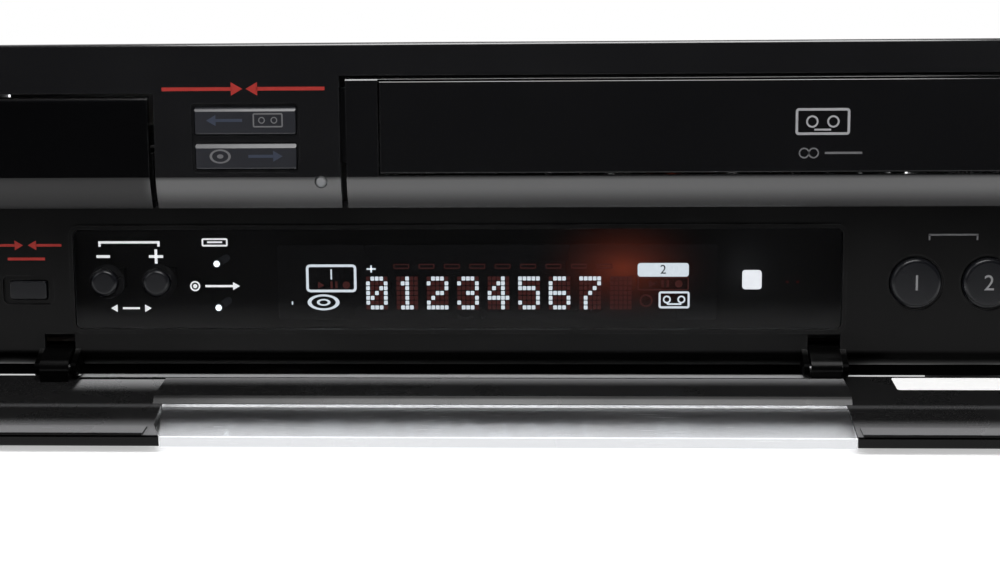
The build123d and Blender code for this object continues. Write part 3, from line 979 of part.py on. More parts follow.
def aerial_sockets():
    """Screened tuner can with two threaded aerial sockets through the rear panel."""
    can = along_y(rect(AERIAL_X - TUNER_HALF, AERIAL_X + TUNER_HALF, BOARD_UNDERSIDE + BOARD_THICK, TUNER_TOP, 0.8),
                  REAR_INNER - TUNER_DEEP, REAR_INNER)
    for z in AERIAL_ZS:
        can += post_y(AERIAL_X, z, 5.0, REAR_INNER - 0.1, REAR_FACE + 1.6)
        can += post_y(AERIAL_X, z, 4.0, REAR_FACE, REAR_FACE + AERIAL_REACH)
        can -= post_y(AERIAL_X, z, 3.1, REAR_FACE + 2, REAR_FACE + AERIAL_REACH + 1)
        can += post_y(AERIAL_X, z, 1.9, REAR_FACE + 1.9, REAR_FACE + AERIAL_REACH - 1.5)
        can -= post_y(AERIAL_X, z, 0.6, REAR_FACE + 3, REAR_FACE + AERIAL_REACH + 1)
    return can


def digital_socket():
    """Flat digital output socket: a folded metal shell with a tongue inside."""
    shell = outline((-7.3, -0.6), (-7.3, 3.0), (7.3, 3.0), (7.3, -0.6), (5.2, -3.0), (-5.2, -3.0))
    hollow = outline((-6.7, -0.4), (-6.7, 2.4), (6.7, 2.4), (6.7, -0.4), (4.9, -2.4), (-4.9, -2.4))
    place = Pos(DIGITAL_X, DIGITAL_Z)
    socket = along_y(place * shell, REAR_INNER - DIGITAL_DEEP, REAR_FACE + 1.0)
    socket -= along_y(place * hollow, REAR_FACE - 8, REAR_FACE + 2)
    socket += along_y(place * rect(-5.4, 5.4, 0.2, 1.2), REAR_FACE - 8.1, REAR_FACE - 1)
    socket += block(DIGITAL_X - 6.5, DIGITAL_X + 6.5, REAR_INNER - DIGITAL_DEEP, REAR_INNER - 3,
                    BOARD_UNDERSIDE + BOARD_THICK, DIGITAL_Z - 2.9)
    return socket


def mains_inlet():
    """Two-pin figure-of-eight inlet held in the rear panel."""
    body = along_y(Pos(INLET_X, INLET_Z) * RectangleRounded(INLET_WIDE - 2 * FIT_GAP, INLET_HIGH - 2 * FIT_GAP, 1.8),
                   REAR_INNER - INLET_DEEP, REAR_FACE + 0.1)
    body += along_y(Pos(INLET_X, INLET_Z) * RectangleRounded(INLET_WIDE + 4, INLET_HIGH + 4, 2.5),
                    REAR_FACE, REAR_FACE + 1.6)
    eight = Pos(INLET_X - 4.0, INLET_Z) * Circle(4.3) + Pos(INLET_X + 4.0, INLET_Z) * Circle(4.3)
    eight += Pos(INLET_X, INLET_Z) * Rectangle(8.0, 8.2)
    body -= along_y(eight, REAR_FACE - 12, REAR_FACE + 3)
    for x in (INLET_X - 4.3, INLET_X + 4.3):
        body += post_y(x, INLET_Z, 1.2, REAR_FACE - 12.1, REAR_FACE - 0.5)
    back = REAR_INNER - INLET_DEEP
    body += block(INLET_X - 9, INLET_X + 9, back - INLET_BLOCK_DEEP, back + 0.1,
                  BOARD_UNDERSIDE + BOARD_THICK, INLET_Z + 4)
    return body


# ---- cassette deck --------------------------------------------------------------------------
def deck_plate():
    """Pressed deck with openings for reels, drum and capstan, on four folded legs."""
    sheet = rect(DECK_X - 101, DECK_X + 101, DECK_FRONT, DECK_BACK, 3.0)
    sheet -= Pos(DECK_X, 86) * RectangleRounded(110, 52, 8)
    deck = along_z(sheet, DECK_TOP - DECK_SHEET, DECK_TOP)
    for x in LEG_XS:
        for y in LEG_YS:
            deck += block(x, x + 1.2, y - 6, y + 6, PAN_TOP, DECK_TOP - DECK_SHEET + 0.1)
    for side in (-1, 1):
        deck += post_z(DECK_X + side * REEL_SPACING / 2, REEL_Y, REEL_POST_R, DECK_TOP - 1.0, 60.0)
    # fixed tape guides either side of the drum
    for x, y in ((DECK_X - 52, CAPSTAN_Y - 14), (DECK_X - 38, CAPSTAN_Y), (DECK_X + 44, CAPSTAN_Y - 8)):
        deck += post_z(x, y, 2.2, DECK_TOP - 0.1, 68)
        deck += post_z(x, y, 3.4, 52, 53.2)
        deck += post_z(x, y, 3.4, 67, 68.6)
    deck += post_z(ARM_X, ARM_Y, 1.8, DECK_TOP - 0.1, 66)
    # bearing tower of the capstan
    bore = CAPSTAN_R + PIN_GAP
    tower = outline((0, 36.0), (4.5, 36.0), (4.5, DECK_TOP - 1), (7.5, DECK_TOP - 0.1), (7.5, DECK_TOP + 1.5),
                    (4.0, DECK_TOP + 3), (3.4, 50.0), (0, 50.0))
    deck += Pos(DECK_X + CAPSTAN_X_OFFSET, CAPSTAN_Y, 0) * revolve(Plane.XZ * tower, Axis.Z)
    deck -= post_z(DECK_X + CAPSTAN_X_OFFSET, CAPSTAN_Y, bore, 35, 51)
    return deck


def deck_bracket(side):
    """Side plate of the deck: a long slot guides the carriage sliders, tabs meet the deck."""
    inner = DECK_X + side * (CARRIAGE_INNER / 2 + CARRIAGE_SHEET + SLIDER_SHEET + 2.0)
    outer = inner + side * BRACKET_SHEET
    x0, x1 = min(inner, outer), max(inner, outer)
    plate = outline((42, DECK_TOP), (42, 92), (48, 98), (190, 98), (206, 82), (206, DECK_TOP))
    plate -= Pos((56 + 108 + CARRIAGE_RUN) / 2 + 2, SLIDER_PIN_Z) * SlotOverall(
        CARRIAGE_RUN + 60 + 2 * SLIDER_PIN_R, 2 * (SLIDER_PIN_R + 0.15))
    plate -= Pos(120, 60) * RectangleRounded(110, 22, 6)
    bracket = along_x(plate, x0, x1)
    for y in (60, 176):
        bracket += block(min(inner, inner + side * 8), max(inner, inner + side * 8), y, y + 16,
                         DECK_TOP, DECK_TOP + 1.2)
    return bracket


def carriage_sliders():
    """Two side slides, pulled in by the loading gear; upright slots lower the carriage."""
    group = []
    for side in (-1, 1):
        inner = DECK_X + side * (CARRIAGE_INNER / 2 + CARRIAGE_SHEET + 0.6)
        outer = inner + side * SLIDER_SHEET
        x0, x1 = min(inner, outer), max(inner, outer)
        plate = outline((44, 54), (44, 92), (122, 92), (122, 54), (104, 50), (62, 50))
        for y in CARRIAGE_PIN_YS:
            low, high = CARRIAGE_PIN_Z - CARRIAGE_DROP, CARRIAGE_PIN_Z
            plate -= Pos(y, (low + high) / 2) * SlotOverall(
                high - low + 2 * CARRIAGE_PIN_R + 0.3, 2 * CARRIAGE_PIN_R + 0.3, rotation=90)
        plate -= Pos(85, 62) * RectangleRounded(30, 14, 3)
        slide = along_x(plate, x0, x1)
        for y in SLIDER_PIN_YS:
            end = outer + side * 2.6
            slide += post_x(y, SLIDER_PIN_Z, SLIDER_PIN_R, min(outer, end) - 0.1, max(outer, end) + 0.1)
        group.append(slide)
    return Compound(children=group)


def cassette_carriage():
    """Folded holder for the cassette: roof with windows, side walls and two floor ledges."""
    half = CARRIAGE_INNER / 2
    sheet = CARRIAGE_SHEET
    section = rect(DECK_X - half - sheet, DECK_X + half + sheet, CARRIAGE_FLOOR - sheet, CARRIAGE_CEILING + sheet, 1.5)
    section -= rect(DECK_X - half, DECK_X + half, CARRIAGE_FLOOR, CARRIAGE_CEILING)
    section -= rect(DECK_X - half + LEDGE, DECK_X + half - LEDGE, CARRIAGE_FLOOR - 5, CARRIAGE_FLOOR + 1)
    holder = along_y(section, CARRIAGE_FRONT, CARRIAGE_BACK)
    roof = Pos(DECK_X, 98) * repeated(GridLocations(66, 0, 2, 1), RectangleRounded(44, 46, 5))
    roof += Pos(DECK_X, CARRIAGE_FRONT) * RectangleRounded(110, 18, 6)
    holder -= along_z(roof, CARRIAGE_CEILING - 1, CARRIAGE_CEILING + 3)
    for side in (-1, 1):
        face = DECK_X + side * (half + sheet)
        end = face + side * (0.6 + SLIDER_SHEET + 0.4)
        for y in CARRIAGE_PIN_YS:
            holder += post_x(y, CARRIAGE_PIN_Z, CARRIAGE_PIN_R, min(face - side * 0.3, end),
                             max(face - side * 0.3, end))
    return holder


def drum_base():
    """Fixed lower half of the head drum on its stand."""
    lower = post_z(0, 0, DRUM_R, 46, 58) - post_z(0, 0, 3.0 + PIN_GAP, 45, 59)
    lower += along_z(Circle(DRUM_R - 6), DECK_TOP, 46.1) - post_z(0, 0, 3.0 + PIN_GAP, DECK_TOP - 1, 47)
    return Pos(DECK_X, DRUM_Y, 0) * lower


def head_drum():
    """Upper drum that carries the video heads, with its shaft down through the lower half."""
    turned = outline((0, 42.0), (3.0, 42.0), (3.0, 58.4), (DRUM_R, 58.4), (DRUM_R, 72.0), (DRUM_R - 1, 73.0),
                     (20.0, 73.0), (18.0, 70.5), (8.0, 70.5), (7.0, 76.0), (0, 76.0))
    drum = revolve(Plane.XZ * turned, Axis.Z)
    notches = repeated(PolarLocations(DRUM_R - 0.6, 4), Rectangle(3.0, 2.4))
    drum -= along_z(notches, 58, 60.5)
    return Pos(DECK_X, DRUM_Y, 0) * drum


def capstan():
    """Capstan shaft with the flywheel below the deck, that feeds the tape at constant speed."""
    turned = outline((0, 22.0), (CAPSTAN_R, 22.0), (CAPSTAN_R, 27.0), (6, 27.0), (7, 29.0), (21, 29.0),
                     (21, 33.0), (20, 34.0), (5, 34.0), (CAPSTAN_R, 35.6), (CAPSTAN_R, 70.0), (0, 70.6))
    return Pos(DECK_X + CAPSTAN_X_OFFSET, CAPSTAN_Y, 0) * revolve(Plane.XZ * turned, Axis.Z)


def pinch_arm():
    """Swinging arm with the rubber pinch roller that presses the tape on the capstan."""
    arm_z0, arm_z1 = 50.0, 52.0
    line = math.atan2(ROLLER_Y - ARM_Y, ROLLER_X - ARM_X)
    length = math.hypot(ROLLER_X - ARM_X, ROLLER_Y - ARM_Y)
    bar = Pos((ROLLER_X + ARM_X) / 2, (ROLLER_Y + ARM_Y) / 2) * SlotOverall(
        length + 8, 8, rotation=math.degrees(line))
    arm = along_z(bar, arm_z0, arm_z1)
    arm += post_z(ARM_X, ARM_Y, 3.6, DECK_TOP + 0.3, 60)
    arm += post_z(ROLLER_X, ROLLER_Y, 1.2, arm_z0, 69)
    arm += post_z(ROLLER_X, ROLLER_Y, ROLLER_R, 54, 68)
    arm -= post_z(ARM_X, ARM_Y, 1.8 + PIN_GAP, DECK_TOP, 61)
    return arm


def reel_table(side):
    """Reel table: toothed rim, hub with three drive fins, turning on the deck's post."""
    x = DECK_X + side * REEL_SPACING / 2
    bore = REEL_POST_R + PIN_GAP
    turned = outline((bore, DECK_TOP + RUNNING_GAP), (12, DECK_TOP + RUNNING_GAP), (REEL_TABLE_R, 42.0), (REEL_TABLE_R, 45.0), (9.5, 46.0),
                     (9.5, 50.0), (5.0, 50.0), (4.6, 61.5), (3.4, 62.5), (bore, 62.5))
    table = revolve(Plane.XZ * turned, Axis.Z)
    fins = repeated(PolarLocations(6.0, 3), Rectangle(3.6, 1.6))
    table += along_z(fins, 49.8, 59.0)
    return Pos(x, REEL_Y, 0) * table


# ---- all the pieces ---------------------------------------------------------------------------
def build():
    os.makedirs("parts", exist_ok=True)
    save("chassis_pan", chassis_pan())
    save("feet", feet())
    save("top_cover", top_cover())
    save("cover_screws", cover_screws())
    save("rear_panel", rear_panel())
    save("front_fascia", front_fascia())
    save("cassette_surround", cassette_surround())
    save("cassette_flap", cassette_flap())
    save("control_panel", control_panel())
    save("display_window", display_window())
    save("indicator_pipes", indicator_pipes())
    save("indicator_lamp", indicator_lamp())
    save("front_door", front_door())
    save("door_lens", door_lens())
    save("door_hinge_pins", hinge_pins())
    for name, x, z in ROUND_BUTTONS:
        save(name, round_button(x, z))
    for name, x, z in SMALL_ROUND_BUTTONS:
        save(name, small_round_button(x, z))
    for name, x, z in KEY_BUTTONS:
        save(name, key_button(x, z))
    for name, low, high in DUB_BUTTONS:
        save(name, dub_button(low, high))
    save("front_board", front_board())
    save("display_tube", display_tube())
    save("front_jacks", front_jacks())
    save("disc_tray", disc_tray())
    save("tray_door", tray_door())
    save("tray_pinion", pinion())
    save("loader_frame", loader_frame())
    save("traverse_frame", traverse_frame())
    save("sled_rods", sled_rods())
    save("spindle_motor", spindle_motor())
    save("turntable", turntable())
    save("clamp_bridge", clamp_bridge())
    save("disc_clamper", disc_clamper())
    save("optical_pickup", optical_pickup())
    save("tray_motor", tray_motor())
    save("loader_bracket", loader_bracket())
    save("power_board", power_board())
    save("main_board", main_board())
    save("rear_jacks", rear_jacks())
    save("aerial_sockets", aerial_sockets())
    save("digital_socket", digital_socket())
    save("mains_inlet", mains_inlet())
    save("deck_plate", deck_plate())
    save("deck_bracket_left", deck_bracket(-1))
    save("deck_bracket_right", deck_bracket(1))
    save("carriage_sliders", carriage_sliders())
    save("cassette_carriage", cassette_carriage())
    save("drum_base", drum_base())
    save("head_drum", head_drum())
    save("capstan", capstan())
    save("pinch_arm", pinch_arm())
    save("supply_reel_table", reel_table(-1))
    save("take_up_reel_table", reel_table(1))


build()
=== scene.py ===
import math
import bpy
from mathutils import Matrix, Vector


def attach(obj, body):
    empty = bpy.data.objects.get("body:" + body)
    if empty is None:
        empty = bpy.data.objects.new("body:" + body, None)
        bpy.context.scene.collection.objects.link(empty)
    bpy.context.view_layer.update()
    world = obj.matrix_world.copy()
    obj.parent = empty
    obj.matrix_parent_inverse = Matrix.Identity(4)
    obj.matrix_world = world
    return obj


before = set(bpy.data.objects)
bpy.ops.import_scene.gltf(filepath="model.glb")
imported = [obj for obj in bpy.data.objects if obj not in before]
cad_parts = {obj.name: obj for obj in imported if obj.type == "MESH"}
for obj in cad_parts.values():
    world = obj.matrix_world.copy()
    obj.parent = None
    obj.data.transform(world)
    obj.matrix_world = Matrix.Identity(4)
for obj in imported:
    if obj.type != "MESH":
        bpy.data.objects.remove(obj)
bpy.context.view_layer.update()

# ==== Table, light and camera ====================================================
# A pale seamless table in soft studio light. Places below are in millimetres from the
# middle of the fascia's front face at table level; MIDDLE carries them into the frame.
MIDDLE = 149.6


def at(x, y, z):
    return Vector((x / 1000, (y - MIDDLE) / 1000, z / 1000))


def node(tree, kind, **inputs):
    """A shader node with its plain sockets set; a socket's spaces are written as _."""
    made = tree.nodes.new(kind)
    for socket, value in inputs.items():
        made.inputs[socket.replace("_", " ")].default_value = value
    return made


def join(tree, source, target):
    tree.links.new(source, target)


def reckon(tree, how, a, b=None):
    """A math node fed by sockets or plain numbers; gives its output socket."""
    made = tree.nodes.new("ShaderNodeMath")
    made.operation = how
    for place, value in enumerate((a, b)):
        if value is None:
            continue
        if isinstance(value, (int, float)):
            made.inputs[place].default_value = value
        else:
            join(tree, value, made.inputs[place])
    return made.outputs[0]


def ranged(tree, value, low, high, out_low=0.0, out_high=1.0):
    made = node(tree, "ShaderNodeMapRange", From_Min=low, From_Max=high, To_Min=out_low, To_Max=out_high)
    made.interpolation_type = "SMOOTHSTEP"
    join(tree, value, made.inputs["Value"])
    return made.outputs["Result"]


def blended(tree, factor, low, high):
    """Mixes two colours, each a plain value or a socket."""
    made = tree.nodes.new("ShaderNodeMix")
    made.data_type = "RGBA"
    for socket, value in ((made.inputs[0], factor), (made.inputs[6], low), (made.inputs[7], high)):
        if isinstance(value, bpy.types.NodeSocket):
            join(tree, value, socket)
        elif isinstance(value, tuple):
            socket.default_value = (*value, 1.0)
        else:
            socket.default_value = value
    return made.outputs[2]


def split(tree, source):
    """Splits a place or a direction into X, Y and Z."""
    made = node(tree, "ShaderNodeSeparateXYZ")
    join(tree, source, made.inputs[0])
    return made


def fresh_material(name):
    made = bpy.data.materials.new(name)
    made.use_nodes = True
    return made, made.node_tree, made.node_tree.nodes["Principled BSDF"]


bpy.ops.object.select_all(action="DESELECT")
bpy.ops.mesh.primitive_plane_add(size=9, location=(0, 0, 0))
table = bpy.context.object
table.name = "table_top"
table_paint, tree, shader = fresh_material("table_paint")
shader.inputs["Roughness"].default_value = 0.7
# painted reflection: far in front the table is dark for mirrored rays; under the unit its glow is cut, a
# painted shadow
MIRROR_DARKENS = (-0.25, -0.37)
SHADE_LEFT, SHADE_RIGHT = (-0.115, -0.100), (0.150, 0.138)
SHADE_FRONT, SHADE_BACK = (-0.182, -0.160), (0.19, 0.18)
SHADE_DEPTH, LIT_NEAR, LIT_MORE_FAR = 0.98, 0.45, 0.65
where = node(tree, "ShaderNodeTexCoord")
apart = split(tree, where.outputs["Object"])
rays = node(tree, "ShaderNodeLightPath")
in_front = ranged(tree, apart.outputs["Y"], *MIRROR_DARKENS)
# painted shadow: a box under the unit where the table's glow is cut
under = reckon(tree, "MULTIPLY", ranged(tree, apart.outputs["X"], *SHADE_LEFT),
               ranged(tree, apart.outputs["X"], *SHADE_RIGHT))
under = reckon(tree, "MULTIPLY", under, ranged(tree, apart.outputs["Y"], *SHADE_FRONT))
under = reckon(tree, "MULTIPLY", under, ranged(tree, apart.outputs["Y"], *SHADE_BACK))
distance = tree.nodes.new("ShaderNodeVectorMath")
distance.operation = "LENGTH"
join(tree, where.outputs["Object"], distance.inputs[0])
far = ranged(tree, distance.outputs["Value"], 0.5, 1.4)
# painted reflection: mirrored rays see the table far in front as dark
painted_dark_mirror = reckon(tree, "MULTIPLY", rays.outputs["Is Glossy Ray"], in_front)
join(tree, blended(tree, painted_dark_mirror, (0.86, 0.86, 0.86), (0.008, 0.008, 0.008)),
     shader.inputs["Base Color"])
seen = reckon(tree, "MAXIMUM", rays.outputs["Is Camera Ray"], rays.outputs["Is Transmission Ray"])
seen = reckon(tree, "MAXIMUM", seen, reckon(tree, "SUBTRACT", rays.outputs["Is Glossy Ray"], painted_dark_mirror))
brighter = reckon(tree, "ADD", reckon(tree, "MULTIPLY", far, LIT_MORE_FAR), LIT_NEAR)
glow = reckon(tree, "MULTIPLY", seen, brighter)
lit_share = reckon(tree, "SUBTRACT", 1.0, reckon(tree, "MULTIPLY", under, SHADE_DEPTH))
glow = reckon(tree, "MULTIPLY", glow, lit_share)
join(tree, glow, shader.inputs["Emission Strength"])
shader.inputs["Emission Color"].default_value = (1, 1, 1, 1)
table.data.materials.append(table_paint)

world = bpy.data.worlds.new("studio")
bpy.context.scene.world = world
world.use_nodes = True
tree = world.node_tree
sky = tree.nodes["Background"]
rays = node(tree, "ShaderNodeLightPath")
apart = split(tree, node(tree, "ShaderNodeTexCoord").outputs["Generated"])
behind = ranged(tree, apart.outputs["Y"], -0.5, 0.6)
mirrored = blended(tree, behind, (0.03, 0.03, 0.033), (0.85, 0.85, 0.86))
room = blended(tree, rays.outputs["Is Glossy Ray"], (0.42, 0.42, 0.43), mirrored)
seen = reckon(tree, "MAXIMUM", rays.outputs["Is Camera Ray"], rays.outputs["Is Transmission Ray"])
join(tree, blended(tree, seen, room, (1.0, 1.0, 1.0)), sky.inputs["Color"])

for name, place, aim, size, power in (
        ("lamp_over", (0.05, -0.62, 1.05), (0.0, -0.1, 0.05), 0.7, 8.0),
        ("lamp_left", (-1.3, -1.1, 0.9), (0.0, -0.1, 0.05), 0.9, 3.0),
        ("lamp_back", (0.5, 1.5, 1.1), (0.0, 0.0, 0.05), 1.2, 6.0)):
    light = bpy.data.lights.new(name, "AREA")
    light.size = size
    light.energy = power
    lamp = bpy.data.objects.new(name, light)
    lamp.location = place
    lamp.rotation_euler = (Vector(aim) - Vector(place)).to_track_quat("-Z", "Y").to_euler()
    bpy.context.collection.objects.link(lamp)

# the camera looks down a little, turned to its left and not quite level
DOWN, TURN, LEVEL = math.radians(8.0), math.radians(-2.5), math.radians(-0.4)
CAMERA_PLACE, LENS, SENSOR = at(56.25, -470, 106.65), 60.48, 36.0
ahead = Vector((math.sin(TURN) * math.cos(DOWN), math.cos(TURN) * math.cos(DOWN), -math.sin(DOWN)))
across = ahead.cross(Vector((0, 0, 1))).normalized()
upward = across.cross(ahead)
tipped = across * math.cos(LEVEL) + upward * math.sin(LEVEL)
upward = tipped.cross(ahead)
camera = bpy.data.objects.new("camera", bpy.data.cameras.new("camera"))
camera.data.lens = LENS
camera.data.sensor_width = SENSOR
camera.data.clip_start = 0.01
turned = Matrix((tipped, upward, -ahead)).transposed()
camera.matrix_world = Matrix.Translation(CAMERA_PLACE) @ turned.to_4x4()
bpy.context.collection.objects.link(camera)
bpy.context.scene.camera = camera
bpy.context.scene.view_settings.view_transform = "Standard"

# ==== Steel body: floor pan, hood, rear panel, screws and feet =====================
# Zinc-plated floor and back, folded and pierced; a hood in fine textured black paint;
# plated screws; moulded rubber feet pushed up into the pan.


def start_group(name, inputs, outputs):
    """An empty shader group with named sockets; gives its tree and its two ends."""
    group = bpy.data.node_groups.new(name, "ShaderNodeTree")
    for socket, kind, value in inputs:
        made = group.interface.new_socket(socket, in_out="INPUT", socket_type=kind)
        made.default_value = value
    for socket, kind in outputs:
        group.interface.new_socket(socket, in_out="OUTPUT", socket_type=kind)
    return group, group.nodes.new("NodeGroupInput"), group.nodes.new("NodeGroupOutput")


NUMBER, COLOUR = "NodeSocketFloat", "NodeSocketColor"

# moulding grain and handling marks: a fine texture, slow cloudiness and a few hairlines
grain_group, given, result = start_group(
    "moulding_grain",
    (("Grain Scale", NUMBER, 6000.0), ("Cloud Scale", NUMBER, 18.0), ("Scratch", NUMBER, 0.3)),
    (("Height", NUMBER), ("Cloud", NUMBER), ("Hairline", NUMBER)))
where = node(grain_group, "ShaderNodeTexCoord")
fine = node(grain_group, "ShaderNodeTexNoise", Detail=3.0, Roughness=0.6)
join(grain_group, where.outputs["Object"], fine.inputs["Vector"])
join(grain_group, given.outputs["Grain Scale"], fine.inputs["Scale"])
cloud = node(grain_group, "ShaderNodeTexNoise", Detail=4.0, Roughness=0.55)
join(grain_group, where.outputs["Object"], cloud.inputs["Vector"])
join(grain_group, given.outputs["Cloud Scale"], cloud.inputs["Scale"])
stretched = node(grain_group, "ShaderNodeMapping", Rotation=(0.3, 0.2, 0.5), Scale=(14.0, 260.0, 90.0))
join(grain_group, where.outputs["Object"], stretched.inputs["Vector"])
hair = node(grain_group, "ShaderNodeTexNoise", Scale=6.0, Detail=1.0)
join(grain_group, stretched.outputs[0], hair.inputs["Vector"])
line = ranged(grain_group, hair.outputs["Fac"], 0.70, 0.76)
hairline = reckon(grain_group, "MULTIPLY", line, given.outputs["Scratch"])
join(grain_group, hairline, result.inputs["Hairline"])
join(grain_group, fine.outputs["Fac"], result.inputs["Height"])
join(grain_group, cloud.outputs["Fac"], result.inputs["Cloud"])

# rubbed edges: where the rounded normal leaves the true one, broken up by noise
edge_group, given, result = start_group(
    "rubbed_edges", (("Width", NUMBER, 0.0006), ("Amount", NUMBER, 0.5)), (("Mask", NUMBER),))
rounded = edge_group.nodes.new("ShaderNodeBevel")
rounded.samples = 4
join(edge_group, given.outputs["Width"], rounded.inputs["Radius"])
true_side = node(edge_group, "ShaderNodeNewGeometry")
likeness = edge_group.nodes.new("ShaderNodeVectorMath")
likeness.operation = "DOT_PRODUCT"
join(edge_group, rounded.outputs[0], likeness.inputs[0])
join(edge_group, true_side.outputs["Normal"], likeness.inputs[1])
bent = reckon(edge_group, "SUBTRACT", 1.0, likeness.outputs["Value"])
where = node(edge_group, "ShaderNodeTexCoord")
broken = node(edge_group, "ShaderNodeTexNoise", Scale=240.0, Detail=3.0)
join(edge_group, where.outputs["Object"], broken.inputs["Vector"])
worn = reckon(edge_group, "MULTIPLY", ranged(edge_group, bent, 0.02, 0.22),
              ranged(edge_group, broken.outputs["Fac"], 0.35, 0.62))
join(edge_group, reckon(edge_group, "MULTIPLY", worn, given.outputs["Amount"]), result.inputs["Mask"])

# dust: fine specks that settle on what faces upwards
dust_group, given, result = start_group("settled_dust", (("Amount", NUMBER, 0.5),), (("Mask", NUMBER),))
apart = split(dust_group, node(dust_group, "ShaderNodeNewGeometry").outputs["Normal"])
where = node(dust_group, "ShaderNodeTexCoord")
specks = node(dust_group, "ShaderNodeTexNoise", Scale=4200.0, Detail=4.0, Roughness=0.7)
join(dust_group, where.outputs["Object"], specks.inputs["Vector"])
lying = reckon(dust_group, "MULTIPLY", ranged(dust_group, apart.outputs["Z"], 0.35, 0.95),
               ranged(dust_group, specks.outputs["Fac"], 0.52, 0.78))
join(dust_group, reckon(dust_group, "MULTIPLY", lying, given.outputs["Amount"]), result.inputs["Mask"])


def place_group(tree, group, **values):
    made = tree.nodes.new("ShaderNodeGroup")
    made.node_tree = group
    for socket, value in values.items():
        made.inputs[socket.replace("_", " ")].default_value = value
    return made


def grained(tree, shader, surface, strength):
    """Lets the grain of a finish raise its surface."""
    raised = node(tree, "ShaderNodeBump", Strength=strength, Distance=0.0002)
    join(tree, surface.outputs["Height"], raised.inputs["Height"])
    join(tree, raised.outputs[0], shader.inputs["Normal"])


def overlay(tree, mask, colour):
    """Lays a colour over a finish where the mask says so."""
    base = tree.nodes["Principled BSDF"].inputs["Base Color"]
    join(tree, blended(tree, mask, base.links[0].from_socket, colour), base)


def finish_of(name, colour, rough, metal=0.0, ior=1.5, grain=2500.0, bump=0.05, spread=0.08,
              rubbed=(0.3, 0.3, 0.3), wear=0.3, dust=0.25, coat=0.0, scratch=0.25):
    """A material with grain, cloudy gloss, rubbed edges and a little dust."""
    made, tree, shader = fresh_material(name)
    surface = place_group(tree, grain_group, Grain_Scale=grain, Scratch=scratch)
    edges = place_group(tree, edge_group, Amount=wear)
    dusty = place_group(tree, dust_group, Amount=dust)
    deep = tuple(c * 0.82 for c in colour)
    tone = blended(tree, surface.outputs["Cloud"], deep, tuple(min(1.0, c * 1.16) for c in colour))
    tone = blended(tree, edges.outputs["Mask"], tone, rubbed)
    tone = blended(tree, dusty.outputs["Mask"], tone, (0.42, 0.41, 0.39))
    join(tree, tone, shader.inputs["Base Color"])
    gloss = ranged(tree, surface.outputs["Cloud"], 0.3, 0.7, max(0.02, rough - spread / 2), rough + spread)
    gloss = reckon(tree, "ADD", gloss, reckon(tree, "MULTIPLY", surface.outputs["Hairline"], 0.25))
    gloss = reckon(tree, "ADD", gloss, reckon(tree, "MULTIPLY", dusty.outputs["Mask"], 0.4))
    join(tree, gloss, shader.inputs["Roughness"])
    shader.inputs["Metallic"].default_value = metal
    shader.inputs["IOR"].default_value = ior
    shader.inputs["Coat Weight"].default_value = coat
    grained(tree, shader, surface, bump)
    return made


def dress(material, *names):
    """Gives carried-over CAD nodes their finish."""
    for name in names:
        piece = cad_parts[name]
        if not piece.material_slots:
            piece.data.materials.append(material)
        for place in piece.material_slots:
            place.material = material


zinc = finish_of("zinc_plate", (0.52, 0.53, 0.53), 0.34, metal=1.0, grain=900, bump=0.10,
                 rubbed=(0.7, 0.7, 0.7), wear=0.4, spread=0.16)
hood_paint = finish_of("hood_paint", (0.022, 0.022, 0.024), 0.46, grain=1800, bump=0.55,
                       rubbed=(0.30, 0.30, 0.30), wear=0.35, dust=0.3, spread=0.03)
plated = finish_of("plated_steel", (0.70, 0.70, 0.71), 0.16, metal=1.0, bump=0.03,
                   rubbed=(0.85, 0.85, 0.85), wear=0.5)
foot_rubber = finish_of("foot_rubber", (0.03, 0.03, 0.032), 0.68, grain=1500, bump=0.3,
                        rubbed=(0.10, 0.10, 0.10), wear=0.5)
dress(zinc, "rear_panel")
# painted shade: the pan is darkened to near black along its front, where it shows under the moulded front
pan_zinc = finish_of("pan_zinc", (0.52, 0.53, 0.53), 0.34, metal=1.0, grain=900, bump=0.10,
                     rubbed=(0.7, 0.7, 0.7), wear=0.4, spread=0.16)
PAINTED_SHADE_STARTS = (-0.118, -0.120)
tree = pan_zinc.node_tree
apart = split(tree, node(tree, "ShaderNodeTexCoord").outputs["Object"])
# painted shade along the pan's front edge
overlay(tree, ranged(tree, apart.outputs["Y"], *PAINTED_SHADE_STARTS), (0.003, 0.003, 0.003))
dress(pan_zinc, "chassis_pan")
dress(hood_paint, "top_cover")
dress(plated, "cover_screws")
dress(foot_rubber, "feet")

# ==== Upper front: fascia, tray door, cassette surround and flap ===================
# Black moulded front with a polished face; the tray door, the surround and its flap are
# separate mouldings in the same polish. The band at their foot leans back over the door.
front_gloss = finish_of("front_gloss", (0.0080, 0.0080, 0.0088), 0.20, ior=1.45, grain=7000, bump=0.012,
                        spread=0.07, rubbed=(0.05, 0.05, 0.05), wear=0.35, dust=0.5, scratch=0.12)
flap_gloss = finish_of("flap_gloss", (0.0056, 0.0056, 0.0062), 0.12, ior=1.40, grain=7000, bump=0.008,
                       spread=0.05, rubbed=(0.05, 0.05, 0.05), wear=0.35, dust=0.5, scratch=0.12)
door_gloss = finish_of("door_gloss", (0.0018, 0.0018, 0.0021), 0.12, ior=1.38, grain=7000, bump=0.008,
                       spread=0.05, rubbed=(0.05, 0.05, 0.05), wear=0.35, dust=0.5, scratch=0.12)
BAND_TOP, BAND_FOOT, TRAY_END = (0.0702, 0.0688), (0.0616, 0.0672), (-0.066, -0.060)
EDGES_ABOVE, EDGES_LEAN = (0.080, 0.086), (0.15, 0.45)
